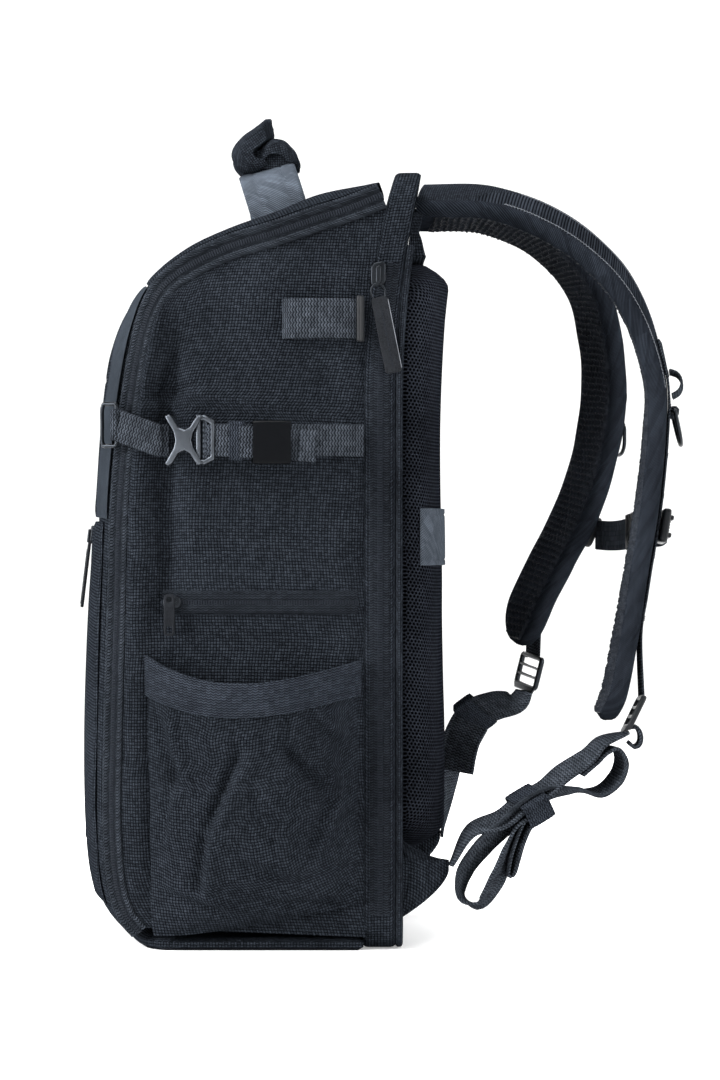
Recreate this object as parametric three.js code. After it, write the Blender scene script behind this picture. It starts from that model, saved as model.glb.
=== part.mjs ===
// A camera backpack that stands on its base, in millimetres: +X is the wearer's right,
// -Y the front of the pack, +Y the side worn against the back, +Z up.
// The origin is the middle of the base on the ground.
import * as THREE from 'three';
import { mergeVertices } from 'three/addons/utils/BufferGeometryUtils.js';

// Driving dimensions of the shell
const PACK_HEIGHT = 490;
const PACK_WIDTH = 290;
const PACK_DEPTH = 240;
const WALL = 6;              // foam-padded walls of the camera compartment
const BASE_THICKNESS = 8;
const BASE_CORNER = 24;
const CLOTH = 2;             // unpadded cloth, seams included
const GAP = 0.35;            // between pieces that touch
const SIDE_BULGE = 6;        // how far a side swells in its middle
const TOP_CORNER = 26;       // of the shell seen from behind
const BOTTOM_CORNER = 22;

// Zips
const ZIP_BAND = 17.5;       // coil with the tape and binding on both sides of it
const ZIP_PROUD = 1.8;
const SIDE_ZIP_LENGTH = 122;
const SIDE_ZIP_HEIGHT = 15;
const SIDE_ZIP_LEVEL = 218;
const PULL_LENGTH = 26;
const PULL_WIDTH = 6.7;
const LEATHER_PULL_LENGTH = 50;
const LEATHER_PULL_WIDTH = 11;
const PULL_THICKNESS = 3;
const PULL_STAND = 2.2;      // between a zip and the middle of a pull that hangs over it
const FRONT_PULL_TURN = 16;  // degrees from the middle of the front
const REAR_PULL_LEVEL = 385; // middle of the leather pull on the upright zip
const PULL_SLANT = 0.12;     // rearward lean of its top, per length

// Rear gusset, which leans back towards the yoke, and the padding behind it
const GUSSET_FRONT = 65.5;
const GUSSET_DEPTH = 20;
const GUSSET_WALL = 5;
const GUSSET_LEAN = 21;
const LEAN_START = 0.7;      // share of the height
const PIPING = 5;
const PAD_WIDTH_BACK = 248;
const PAD_DEPTH_BACK = 31;
const PAD_TOP = 432;
const PAD_BOTTOM = 62;
const CHANNEL_WIDTH = 64;    // air channel down the middle of the padding
const CHANNEL_DEPTH = 12;
const BAND_HEIGHT = 36;      // sleeve for a suitcase handle
const BAND_LEVEL = 259;
const YOKE_WIDTH = 230;
const YOKE_BOTTOM = 434;
const YOKE_TOP = 464;
const WING_LENGTH = 33;
const WING_HEIGHT = 53;
const WING_THICKNESS = 8;

// Carry handle
const HANDLE_SPAN = 120;
const HANDLE_RISE = 31;
const HANDLE_WIDTH = 37.5;
const GRIP_LENGTH = 74;
const GRIP_HEIGHT = 28;
const GRIP_DEPTH = 43;
const GRIP_SEAT = 2.5;
const HANDLE_PLACE = 0.83;   // share of the way from the base to the yoke

// Side pocket
const POCKET_BULGE = 34;
const POCKET_HEM = 183;
const HEM_SAG = 15.5;
const HEM_HEIGHT = 25;

// Webbing and its hardware
const WEBBING = 1.6;
const SIDE_WEBBING_WIDTH = 20;
const LOWER_WEBBING_WIDTH = 25;
const SIDE_STRAP_LEVEL = 319;
const SIDE_STRAP_BOW = 13;   // how far it stands off the side at the buckle
const BUCKLE_SIZE = 32;
const BUCKLE_THICKNESS = 8;
const RING_WIRE = 3;
const RING_PLACE = 0.39;     // share of the way from the base to the yoke
const RING_RISE = 10;        // of the rings above the side straps
const RING_STAND = 5;        // between a ring and the zip beside it
const RING_ROUNDING = 2.5;   // half the bow of a ring seen from above
const LOCK_WIDTH = 32;
const LOCK_LENGTH = 24;
const LOCK_THICKNESS = 4.5;
const SLEEVE_ROOM = 1.4;     // between a curved strap and a stiff slide round it
const KEEPER_LENGTH = 18;
const KEEPER_ROOM = 11;      // below the lower webbing, for the layers of its free end
const LASH_LEVEL = 395;
const LASH_LENGTH = 50;
const LASH_BOW = 11;

// Shoulder straps
const STRAP_SEAT = 3.2;      // behind the gusset, which leans away below it
const STRAP_REACH = 150;     // from there to the furthest point of the arc
const STRAP_DROP = 333;
const STRAP_TOP = 476;
const STRAP_SPREAD = 105;    // from the middle of the back to a strap's lower end
const STRAP_WIDTH = 68;
const STRAP_THICKNESS = 13;
const RAIL_WIDTH = 20;
const RAIL_SEAT = 0.8;
const SLIDER_SIZE = 22;
const SLIDER_DEPTH = 9;
const STERNUM_WIDTH = 20;
const STERNUM_BUCKLE_LENGTH = 48;
const STERNUM_DROP = 0.62;   // place of the sternum strap along the drop of a shoulder strap
const D_RING_DROP = 0.44;
const D_RING_TILT = 3;       // how far the middle of a D ring's wire stands off its bar

const HALF_WIDTH = PACK_WIDTH / 2;
const SEAM = 0.6;              // how far sewn edges lie below their neighbours

// The front and top of the shell from the base to the yoke. Lengths are shares of the pack's
// depth and height: edge is the zip at the side, mid is the middle of the front and top.
const PROFILE = [
  { edgeY: -0.312, edgeZ: 0.024, midY: -0.400, midZ: 0.024 },
  { edgeY: -0.346, edgeZ: 0.045, midY: -0.452, midZ: 0.052 },
  { edgeY: -0.370, edgeZ: 0.080, midY: -0.473, midZ: 0.086 },
  { edgeY: -0.383, edgeZ: 0.153, midY: -0.486, midZ: 0.153 },
  { edgeY: -0.381, edgeZ: 0.260, midY: -0.490, midZ: 0.260 },
  { edgeY: -0.371, edgeZ: 0.440, midY: -0.479, midZ: 0.440 },
  { edgeY: -0.365, edgeZ: 0.555, midY: -0.461, midZ: 0.560 },
  { edgeY: -0.353, edgeZ: 0.636, midY: -0.453, midZ: 0.636 },
  { edgeY: -0.331, edgeZ: 0.721, midY: -0.436, midZ: 0.724 },
  { edgeY: -0.318, edgeZ: 0.758, midY: -0.424, midZ: 0.770 },
  { edgeY: -0.299, edgeZ: 0.799, midY: -0.389, midZ: 0.812 },
  { edgeY: -0.274, edgeZ: 0.830, midY: -0.338, midZ: 0.850 },
  { edgeY: -0.242, edgeZ: 0.852, midY: -0.277, midZ: 0.880 },
  { edgeY: -0.173, edgeZ: 0.876, midY: -0.183, midZ: 0.914 },
  { edgeY: -0.078, edgeZ: 0.898, midY: -0.064, midZ: 0.940 },
  { edgeY: 0.048, edgeZ: 0.917, midY: 0.054, midZ: 0.961 },
  { edgeY: 0.144, edgeZ: 0.933, midY: 0.150, midZ: 0.981 },
  { edgeY: 0.239, edgeZ: 0.948, midY: 0.245, midZ: 0.990 },
  { edgeY: 0.320, edgeZ: 0.964, midY: 0.318, midZ: 0.992 },
];
const FRONT_END = 11.4 / 18;   // where the front panel ends and the top panel starts
const SIDE_CORNER = 11.6 / 18; // where a side panel's front edge turns into its top edge

// Centre line of a shoulder strap from the yoke down: out is a share of the reach, down of the
// drop, side of the spread, width of the strap's width; roll is in degrees.
const NEAR_STRAP = [
  { out: 0.00, down: -0.004, side: 0.48, width: 1.00, roll: 15 },
  { out: 0.301, down: 0.001, side: 0.52, width: 1.00, roll: 16 },
  { out: 0.564, down: 0.047, side: 0.60, width: 0.97, roll: 17 },
  { out: 0.789, down: 0.129, side: 0.70, width: 0.90, roll: 16 },
  { out: 0.926, down: 0.231, side: 0.80, width: 0.86, roll: 11 },
  { out: 0.998, down: 0.361, side: 0.87, width: 0.84, roll: 5 },
  { out: 0.994, down: 0.447, side: 0.90, width: 0.83, roll: 2 },
  { out: 0.959, down: 0.598, side: 0.93, width: 0.81, roll: 0 },
  { out: 0.913, down: 0.721, side: 0.95, width: 0.79, roll: 0 },
  { out: 0.866, down: 0.844, side: 0.97, width: 0.75, roll: -3 },
  { out: 0.811, down: 0.961, side: 0.99, width: 0.68, roll: -4 },
  { out: 0.768, down: 1.000, side: 1.00, width: 0.60, roll: -4 },
];
const FAR_STRAP = [
  { out: 0.00, down: -0.004, side: 0.48, width: 1.00, roll: -8 },
  { out: 0.301, down: 0.001, side: 0.52, width: 1.00, roll: -8 },
  { out: 0.564, down: 0.047, side: 0.60, width: 0.97, roll: -11 },
  { out: 0.762, down: 0.141, side: 0.70, width: 0.90, roll: -15 },
  { out: 0.833, down: 0.248, side: 0.79, width: 0.86, roll: -19 },
  { out: 0.851, down: 0.367, side: 0.86, width: 0.84, roll: -22 },
  { out: 0.801, down: 0.503, side: 0.89, width: 0.83, roll: -23 },
  { out: 0.719, down: 0.610, side: 0.91, width: 0.81, roll: -24 },
  { out: 0.618, down: 0.699, side: 0.92, width: 0.79, roll: -25 },
  { out: 0.513, down: 0.798, side: 0.93, width: 0.74, roll: -25 },
  { out: 0.471, down: 0.874, side: 0.94, width: 0.60, roll: -25 },
];

const FABRIC = material(0x17191f, 0.85, 0);
const SLICK = material(0x2b303a, 0.45, 0);
const MESH = material(0x14161b, 0.9, 0);
const WEB = material(0x1b1d23, 0.7, 0);
const PLASTIC = material(0x2b2e34, 0.4, 0.1);
const METAL = material(0x33363c, 0.35, 0.9);
const LEATHER = material(0x1e1f23, 0.6, 0);

const pack = new THREE.Group();

function material(color, roughness, metalness) {
  return new THREE.MeshStandardMaterial({ color, roughness, metalness });
}

function add(name, geometry, finish) {
  const mesh = new THREE.Mesh(geometry, finish);
  mesh.name = name;
  pack.add(mesh);
  return mesh;
}

function vec(x, y, z) {
  return new THREE.Vector3(x, y, z);
}

// Ways to make a closed solid

function solidFrom(points, faces) {
  let volume = 0;
  for (const [a, b, c] of faces) volume += points[a].dot(points[b].clone().cross(points[c]));
  const positions = [];
  for (const [a, b, c] of faces) {
    const order = volume > 0 ? [a, b, c] : [a, c, b];
    for (const k of order) positions.push(...points[k].toArray());
  }
  const geometry = new THREE.BufferGeometry();
  geometry.setAttribute('position', new THREE.Float32BufferAttribute(positions, 3));
  return mergeVertices(geometry, 1e-4);
}

// The space between two surfaces that are both functions of u and v from 0 to 1
function between(first, second, columns, rows) {
  const points = [];
  const faces = [];
  const stride = columns + 1;
  const layer = stride * (rows + 1);
  const quad = (a, b, c, d) => faces.push([a, b, c], [a, c, d]);
  for (const surface of [first, second]) {
    for (let j = 0; j <= rows; j += 1) {
      for (let i = 0; i <= columns; i += 1) points.push(surface(i / columns, j / rows));
    }
  }
  for (let j = 0; j < rows; j += 1) {
    for (let i = 0; i < columns; i += 1) {
      const a = j * stride + i;
      quad(a, a + 1, a + 1 + stride, a + stride);
      quad(layer + a, layer + a + stride, layer + a + 1 + stride, layer + a + 1);
    }
    const left = j * stride;
    const right = left + columns;
    quad(left, left + stride, layer + left + stride, layer + left);
    quad(right + stride, right, layer + right, layer + right + stride);
  }
  for (let i = 0; i < columns; i += 1) {
    const top = rows * stride + i;
    quad(i + 1, i, layer + i, layer + i + 1);
    quad(top, top + 1, layer + top + 1, layer + top);
  }
  return solidFrom(points, faces);
}

// Cross-sections with as many points each, joined in turn: a closed ring, or capped at both ends
function loft(sections, ring = false) {
  const count = sections[0].length;
  const points = sections.flat();
  const faces = [];
  const spans = ring ? sections.length : sections.length - 1;
  for (let s = 0; s < spans; s += 1) {
    const here = s * count;
    const next = ((s + 1) % sections.length) * count;
    for (let k = 0; k < count; k += 1) {
      const m = (k + 1) % count;
      faces.push([here + k, here + m, next + m], [here + k, next + m, next + k]);
    }
  }
  if (!ring) {
    const end = (sections.length - 1) * count;
    for (let k = 1; k < count - 1; k += 1) {
      faces.push([0, k + 1, k], [end, end + k, end + k + 1]);
    }
  }
  return solidFrom(points, faces);
}

// The value of a column between the rows of a table, at t from 0 to 1
function read(rows, column, t) {
  const place = Math.min(Math.max(t, 0), 1) * (rows.length - 1);
  const k = Math.min(Math.floor(place), rows.length - 2);
  return THREE.MathUtils.lerp(rows[k][column], rows[k + 1][column], place - k);
}

function circle(sides) {
  return Array.from({ length: sides }, (_, k) => {
    const turn = (k / sides) * 2 * Math.PI;
    return [Math.cos(turn), Math.sin(turn)];
  });
}

function frameAt(curve, t, across, roll) {
  const tangent = curve.getTangent(t);
  const side = across.clone().addScaledVector(tangent, -across.dot(tangent)).normalize();
  side.applyAxisAngle(tangent, THREE.MathUtils.degToRad(roll));
  return { tangent, side, face: side.clone().cross(tangent) };
}

const FLAT = [[-1, -1], [1, -1], [1, 1], [-1, 1]];
const CUSHION = [[-1, -0.3], [-0.8, -1], [0.8, -1], [1, -0.3], [1, 0.3], [0.8, 1], [-0.8, 1], [-1, 0.3]];
const ROUND = circle(8);
const WIRE = circle(6);

// A strap along a smooth curve. Its rows give at, and may give width, thick, roll and off,
// the height of its middle off the curve; across is the direction of its width.
function strap(rows, { across, width = 1, thick = 1, steps = 24, outline = FLAT, ring = false }) {
  const curve = new THREE.CatmullRomCurve3(rows.map((row) => row.at), ring, 'centripetal');
  const value = (column, t, usual) => (rows[0][column] === undefined ? usual : read(rows, column, t));
  const sections = [];
  for (let k = 0; k <= steps - (ring ? 1 : 0); k += 1) {
    const t = k / steps;
    const { side, face } = frameAt(curve, t, across, value('roll', t, 0));
    const middle = curve.getPoint(t).addScaledVector(face, value('off', t, 0));
    const halfWidth = value('width', t, width) / 2;
    const halfThick = value('thick', t, thick) / 2;
    sections.push(outline.map(([w, h]) => middle.clone()
      .addScaledVector(side, w * halfWidth)
      .addScaledVector(face, h * halfThick)));
  }
  return loft(sections, ring);
}

// A flat plate of a given outline, rounded at its faces, centred on its own origin
function plate(shape, thickness, bevel) {
  const geometry = new THREE.ExtrudeGeometry(shape, {
    depth: thickness - 2 * bevel,
    bevelEnabled: bevel > 0,
    bevelThickness: bevel,
    bevelSize: bevel,
    bevelOffset: -bevel,
    bevelSegments: 1,
    curveSegments: 2,
  });
  geometry.translate(0, 0, bevel - thickness / 2);
  geometry.deleteAttribute('normal');
  geometry.deleteAttribute('uv');
  return mergeVertices(geometry, 1e-4);
}

function roundedRectangle(width, height, radius) {
  const shape = new THREE.Shape();
  const x = width / 2;
  const y = height / 2;
  shape.moveTo(-x + radius, -y);
  shape.lineTo(x - radius, -y);
  shape.absarc(x - radius, -y + radius, radius, -Math.PI / 2, 0);
  shape.lineTo(x, y - radius);
  shape.absarc(x - radius, y - radius, radius, 0, Math.PI / 2);
  shape.lineTo(-x + radius, y);
  shape.absarc(-x + radius, y - radius, radius, Math.PI / 2, Math.PI);
  shape.lineTo(-x, -y + radius);
  shape.absarc(-x + radius, -y + radius, radius, Math.PI, 1.5 * Math.PI);
  return shape;
}

// Puts a plate's own X, Y and Z along three directions with its middle at a point
function placed(geometry, xAxis, yAxis, zAxis, middle) {
  const matrix = new THREE.Matrix4().makeBasis(xAxis, yAxis, zAxis).setPosition(middle);
  geometry.applyMatrix4(matrix);
  return geometry;
}

// The shell's surfaces

function profileCurve(y, z) {
  const points = PROFILE.map((row) => vec(0, row[y] * PACK_DEPTH, row[z] * PACK_HEIGHT));
  return new THREE.CatmullRomCurve3(points, false, 'centripetal');
}

const edgeLine = profileCurve('edgeY', 'edgeZ');
const midLine = profileCurve('midY', 'midZ');

function edgeAt(s) {
  const tangent = edgeLine.getTangent(s);
  return { point: edgeLine.getPoint(s), out: vec(0, -tangent.z, tangent.y) };
}

// Half of the zip band as seen from the side: it faces forward on the front, sideways on the top
function zipReach(s) {
  const share = THREE.MathUtils.lerp(0.7, 0.95, THREE.MathUtils.smoothstep(s, 0.5, 0.75));
  return (ZIP_BAND * share) / 2;
}

function zipInset(s) {
  const reach = 2 * zipReach(s);
  return Math.sqrt(ZIP_BAND * ZIP_BAND - reach * reach);
}

// The two edges of the zip band: towards the side panel, and towards the front or top panel
function sideEdge(s, inset = 0) {
  const { point, out } = edgeAt(s);
  point.addScaledVector(out, -zipReach(s) - inset);
  return point.setX(HALF_WIDTH);
}

function frontEdge(s, inset = 0) {
  const { point, out } = edgeAt(s);
  point.addScaledVector(out, zipReach(s) + inset);
  return point.setX(HALF_WIDTH - zipInset(s));
}

// The front and top, s along them, turn from -90 degrees at the left to 90 at the right,
// and depth below the pockets' cloth
function frontAt(s, turn, depth) {
  const angle = THREE.MathUtils.degToRad(turn);
  const edge = frontEdge(s, GAP);
  const { out } = edgeAt(s);
  const point = edge.clone().lerp(midLine.getPoint(s).setX(0), Math.cos(angle));
  point.addScaledVector(out, -depth * Math.cos(angle));
  return point.setX((edge.x - GAP - depth) * Math.sin(angle));
}

function lean(z) {
  const start = LEAN_START * PACK_HEIGHT;
  const share = Math.max(z - start, 0) / (PACK_HEIGHT - start);
  return GUSSET_LEAN * share * share;
}

function gussetFront(z) {
  return GUSSET_FRONT + lean(z);
}

function gussetRear(z) {
  return GUSSET_FRONT + GUSSET_DEPTH + 0.78 * lean(z);
}

// How far the side stands out at a place on it
function sideSwell(y, z) {
  const along = (y + 0.36 * PACK_DEPTH) / (0.63 * PACK_DEPTH);
  const up = z / (0.93 * PACK_HEIGHT);
  const bow = Math.sin(Math.PI * THREE.MathUtils.clamp(along, 0, 1));
  const rise = Math.sin(Math.PI * THREE.MathUtils.clamp(up, 0, 1));
  const valley = Math.exp(-(((along - 0.21) / 0.05) ** 2)) * THREE.MathUtils.smoothstep(up, 0.4, 0.55);
  return SIDE_BULGE * Math.max(bow * rise - 0.4 * valley * rise, 0);
}

function onSide(side, y, z, off) {
  return vec(side * (HALF_WIDTH + sideSwell(y, z) + off), y, z);
}

function addShell() {
  add('side_panel_right', sidePanel(1), FABRIC);
  add('side_panel_left', sidePanel(-1), FABRIC);
  add('front_panel', between(
    (u, v) => frontAt(v * (FRONT_END - 0.001), 180 * u - 90, CLOTH + 3 * GAP + SEAM),
    (u, v) => frontAt(v * (FRONT_END - 0.001), 180 * u - 90, CLOTH + 3 * GAP + SEAM + WALL),
    14,
    11,
  ), FABRIC);
  const topAt = (v) => THREE.MathUtils.lerp(FRONT_END + 0.001, topEnd(), v);
  add('top_panel', between(
    (u, v) => frontAt(topAt(v), 180 * u - 90, 0),
    (u, v) => frontAt(topAt(v), 180 * u - 90, WALL),
    14,
    7,
  ), FABRIC);
  add('base_panel', basePanel(), FABRIC);
  add('rear_gusset', rearGusset(), FABRIC);
  add('rear_door', rearDoor(), FABRIC);
}

// The top panel ends just short of the rear gusset
function topEnd() {
  const rows = PROFILE.length - 1;
  for (let s = 1; s > 0; s -= 0.002) {
    const { point, out } = edgeAt(s);
    const reach = Math.max(point.y + Math.abs(out.y) * zipReach(s), frontAt(s, 0, 0).y);
    if (reach < gussetFront(PACK_HEIGHT * PROFILE[rows].edgeZ) - 2 * GAP) return s;
  }
  return 1;
}

function sidePanel(side) {
  const bottom = BASE_THICKNESS + GAP;
  const end = topEnd();
  const inset = GAP + SEAM;
  // The four edges of the panel, then the surface that they span
  const frontEdgeAt = (v) => sideEdge(v * SIDE_CORNER, inset);
  const topEdgeAt = (u) => sideEdge(SIDE_CORNER + u * (end - SIDE_CORNER), inset);
  const topRear = topEdgeAt(1).z;
  const rearEdgeAt = (v) => {
    const z = THREE.MathUtils.lerp(bottom, topRear, v);
    return vec(HALF_WIDTH, gussetFront(z) - GAP - SEAM, z);
  };
  const first = frontEdgeAt(0);
  const baseEdgeAt = (u) => vec(HALF_WIDTH, THREE.MathUtils.lerp(first.y, rearEdgeAt(0).y, u), bottom);
  const surface = (u, v, off) => {
    const fore = frontEdgeAt(v);
    fore.z = Math.max(fore.z, bottom);
    const aft = rearEdgeAt(v);
    const low = baseEdgeAt(u);
    const high = topEdgeAt(u);
    const mix = fore.clone().lerp(aft, u).add(low.clone().lerp(high, v));
    const corners = baseEdgeAt(0).lerp(baseEdgeAt(1), u).lerp(topEdgeAt(0).lerp(topEdgeAt(1), u), v);
    mix.sub(corners);
    return onSide(side, mix.y, mix.z, off);
  };
  return between((u, v) => surface(u, v, 0), (u, v) => surface(u, v, -WALL), 8, 10);
}

function basePanel() {
  const front = sideEdge(0).y;
  const rear = gussetFront(0) - GAP;
  const bow = 0.075 * PACK_DEPTH;
  const half = HALF_WIDTH - 1;
  const shape = new THREE.Shape();
  shape.moveTo(-half, rear);
  shape.lineTo(-half, front + BASE_CORNER * 0.5);
  shape.quadraticCurveTo(-half, front, -half + BASE_CORNER, front - 0.3 * bow);
  shape.quadraticCurveTo(0, front - 1.7 * bow, half - BASE_CORNER, front - 0.3 * bow);
  shape.quadraticCurveTo(half, front, half, front + BASE_CORNER * 0.5);
  shape.lineTo(half, rear);
  return plate(shape, BASE_THICKNESS, 2.5).translate(0, 0, BASE_THICKNESS / 2);
}

// The rounded outline of the shell seen from behind, pulled in by inset, as [x, z] pairs
function rearOutline(inset) {
  const width = HALF_WIDTH - inset;
  const top = PACK_HEIGHT - 1 - inset;
  const bottom = GAP + inset;
  const arc = (x, z, radius, from) => {
    const points = [];
    for (let k = 0; k <= 4; k += 1) {
      const turn = from + (k / 4) * (Math.PI / 2);
      points.push([x + radius * Math.cos(turn), z + radius * Math.sin(turn)]);
    }
    return points;
  };
  const high = TOP_CORNER - inset;
  const low = BOTTOM_CORNER - inset;
  const rise = (x) => [0.25, 0.5, 0.7, 0.78, 0.86, 0.93].map((share) => [x, share * PACK_HEIGHT]);
  return [
    ...arc(-width + low, bottom + low, low, Math.PI),
    ...arc(width - low, bottom + low, low, 1.5 * Math.PI),
    ...rise(width),
    ...arc(width - high, top - high, high, 0),
    ...arc(-width + high, top - high, high, 0.5 * Math.PI),
    ...rise(-width).reverse(),
  ];
}

function rearGusset() {
  const outer = rearOutline(0);
  const inner = rearOutline(GUSSET_WALL);
  return loft(outer.map(([x, z], k) => {
    const [ix, iz] = inner[k];
    return [
      vec(x, gussetFront(z), z),
      vec(x, gussetRear(z), z),
      vec(ix, gussetRear(iz), iz),
      vec(ix, gussetFront(iz), iz),
    ];
  }), true);
}

function rearDoor() {
  const inset = GUSSET_WALL + GAP;
  const bottom = 2 * GAP + inset;
  const top = PACK_HEIGHT - 1 - inset - GAP;
  const halfAt = (z) => {
    const low = BOTTOM_CORNER - inset;
    const high = TOP_CORNER - inset;
    const below = THREE.MathUtils.clamp((bottom + low - z) / low, 0, 1);
    const above = THREE.MathUtils.clamp((z - top + high) / high, 0, 1);
    const pull = low * (1 - Math.sqrt(1 - below * below)) + high * (1 - Math.sqrt(1 - above * above));
    return HALF_WIDTH - inset - GAP - pull;
  };
  const surface = (u, v, y) => {
    const eased = 0.5 - 0.5 * Math.cos(Math.PI * v);
    const z = THREE.MathUtils.lerp(bottom, top, eased);
    return vec((2 * u - 1) * halfAt(z), gussetRear(z) - GAP - y, z);
  };
  return between((u, v) => surface(u, v, 0), (u, v) => surface(u, v, WALL), 4, 12);
}

function addZips() {
  for (const [name, side] of [['right', 1], ['left', -1]]) {
    add(`front_zip_${name}`, frontZip(side), WEB);
    add(`rear_zip_${name}`, rearZip(side), WEB);
  }
  add('rear_piping', rearPiping(), FABRIC);
}

// A band from the side panel's edge to the front panel's edge, proud of both
function frontZip(side) {
  const end = topEnd();
  const surface = (u, v, off) => {
    const s = v * end;
    const from = sideEdge(s);
    const to = frontEdge(s);
    const point = from.clone().lerp(to, u);
    const { out } = edgeAt(s);
    const reach = 2 * zipReach(s);
    const normal = vec(reach, 0, 0).addScaledVector(out, zipInset(s)).normalize();
    point.addScaledVector(normal, off);
    return point.setX(side * point.x);
  };
  return between((u, v) => surface(u, v, ZIP_PROUD), (u, v) => surface(u, v, 0), 1, 26);
}

// Upright zip along the outside of the gusset
function rearZip(side) {
  const low = 0.035 * PACK_HEIGHT;
  const high = 0.878 * PACK_HEIGHT;
  const surface = (u, v, off) => {
    const z = THREE.MathUtils.lerp(Math.max(low, BOTTOM_CORNER + 2 * GAP), high, v);
    const y = THREE.MathUtils.lerp(gussetFront(z), gussetRear(z), 0.2 + 0.6 * u);
    return vec(side * (HALF_WIDTH + off), y, z);
  };
  return between((u, v) => surface(u, v, GAP), (u, v) => surface(u, v, GAP + ZIP_PROUD), 1, 14);
}

function rearPiping() {
  const radius = PIPING / 2;
  const outline = rearOutline(radius);
  const start = outline.findIndex(([x, z]) => x > 0 && z > 0.9 * PACK_HEIGHT);
  const finish = outline.findIndex(([x, z], k) => k > start && x < 0 && z < 0.93 * PACK_HEIGHT);
  const path = [...outline.slice(finish), ...outline.slice(0, start + 1)];
  const rows = path.map(([x, z]) => ({ at: vec(x, gussetRear(z) + radius + GAP, z) }));
  return strap(rows, {
    across: vec(0, 1, 0), width: PIPING, thick: PIPING, steps: rows.length + 6, outline: WIRE,
  });
}

function addFront() {
  const patch = (from, to, left, right, bulge, columns, rows) => {
    const surface = (u, v, depth) => {
      const swell = bulge * Math.sin(Math.PI * u) * Math.sin(Math.PI * Math.min(v, 1));
      const s = THREE.MathUtils.lerp(from, to, v);
      return frontAt(s, THREE.MathUtils.lerp(left, right, u), depth - swell);
    };
    return between((u, v) => surface(u, v, SEAM), (u, v) => surface(u, v, SEAM + CLOTH), columns, rows);
  };
  const pocketTop = 0.328;
  const panelEnd = FRONT_END - 0.004;
  add('front_pocket', patch(0.075, pocketTop, -72, 72, 0, 10, 6), FABRIC);
  add('front_upper_panel', patch(pocketTop + 0.003, panelEnd, -46, 46, 0, 6, 7), FABRIC);
  add('slick_panel_right', patch(pocketTop + 0.003, panelEnd, 46.6, 82, 0, 4, 7), SLICK);
  add('slick_panel_left', patch(pocketTop + 0.003, panelEnd, -82, -46.6, 0, 4, 7), SLICK);
  add('front_pocket_pull', frontPull(pocketTop, SEAM), LEATHER);
}

// Two thin strips of leather side by side, hanging down the front from the pocket's zip
function frontPull(s, below) {
  const top = frontAt(s - 0.012, FRONT_PULL_TURN, below);
  const length = 0.9 * LEATHER_PULL_LENGTH;
  const shape = roundedRectangle(LEATHER_PULL_WIDTH, length, 2);
  const out = vec(Math.sin(THREE.MathUtils.degToRad(FRONT_PULL_TURN / 2)), -1, 0);
  const up = vec(0, PULL_SLANT, 1).normalize();
  const across = up.clone().cross(out).normalize();
  const face = across.clone().cross(up);
  const middle = top.clone()
    .addScaledVector(up, -length / 2)
    .addScaledVector(face, PULL_STAND);
  return placed(plate(shape, 2.5, 0.6), across, up, face, middle);
}

function addBack() {
  add('back_pad', backPad(), MESH);
  add('trolley_band', trolleyBand(), FABRIC);
  add('top_yoke', topYoke(), FABRIC);
  add('wing_right', wing(1), FABRIC);
  add('wing_left', wing(-1), FABRIC);
}

// Depth of the padding at a place across it: rounded to the sides, with the channel in the middle
function paddingDepth(x, z) {
  const share = THREE.MathUtils.clamp(Math.abs(x) / (PAD_WIDTH_BACK / 2), 0, 1);
  const crown = Math.pow(Math.max(1 - Math.pow(share, 4.5), 0), 0.45);
  const channel = Math.exp(-Math.pow(Math.abs(x) / (CHANNEL_WIDTH / 2), 3));
  const waist = 0.1 * Math.sin(Math.PI * 2.1 * (z / PACK_HEIGHT) + 0.4);
  return 6 + (PAD_DEPTH_BACK - 6) * crown * (1 + waist * 0.5) - CHANNEL_DEPTH * channel;
}

function backPad() {
  const halfAt = (v) => {
    const end = Math.max(Math.abs(2 * v - 1) - 0.86, 0) / 0.14;
    return (PAD_WIDTH_BACK / 2) * (1 - 0.14 * end * end);
  };
  const surface = (u, v, rear) => {
    const z = THREE.MathUtils.lerp(PAD_BOTTOM, PAD_TOP, v);
    const x = -Math.cos(Math.PI * u) * halfAt(v);
    const end = Math.max(Math.abs(2 * v - 1) - 0.93, 0) / 0.07;
    const depth = paddingDepth(x * (PAD_WIDTH_BACK / 2) / halfAt(v), z) * (1 - 0.45 * end * end);
    return vec(x, gussetRear(z) + GAP + (rear ? depth : 0), z);
  };
  return between((u, v) => surface(u, v, true), (u, v) => surface(u, v, false), 16, 14);
}

// A sleeve over the padding from side to side, which spans the channel
function trolleyBand() {
  const half = PAD_WIDTH_BACK / 2 - 3;
  const surface = (u, v, off) => {
    const z = BAND_LEVEL + (v - 0.5) * BAND_HEIGHT;
    const x = -Math.cos(Math.PI * u) * half;
    const hold = Math.max(Math.abs(x), CHANNEL_WIDTH * 0.85);
    const bulk = Math.max(paddingDepth(hold, z), paddingDepth(x, z));
    return vec(x, gussetRear(z) + 2 * GAP + bulk + off, z);
  };
  return between((u, v) => surface(u, v, CLOTH), (u, v) => surface(u, v, 0), 16, 1);
}

// The panel that the shoulder straps are sewn to
function topYoke() {
  const surface = (u, v, off) => {
    const x = (u - 0.5) * YOKE_WIDTH;
    const z = THREE.MathUtils.lerp(YOKE_BOTTOM + GAP, YOKE_TOP, v);
    const flare = 6 * (1 - v) * (1 - v);
    return vec(x, gussetRear(z) + GAP + off * (1 + flare / WALL), z);
  };
  return between((u, v) => surface(u, v, WALL), (u, v) => surface(u, v, 0), 12, 4);
}

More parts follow.
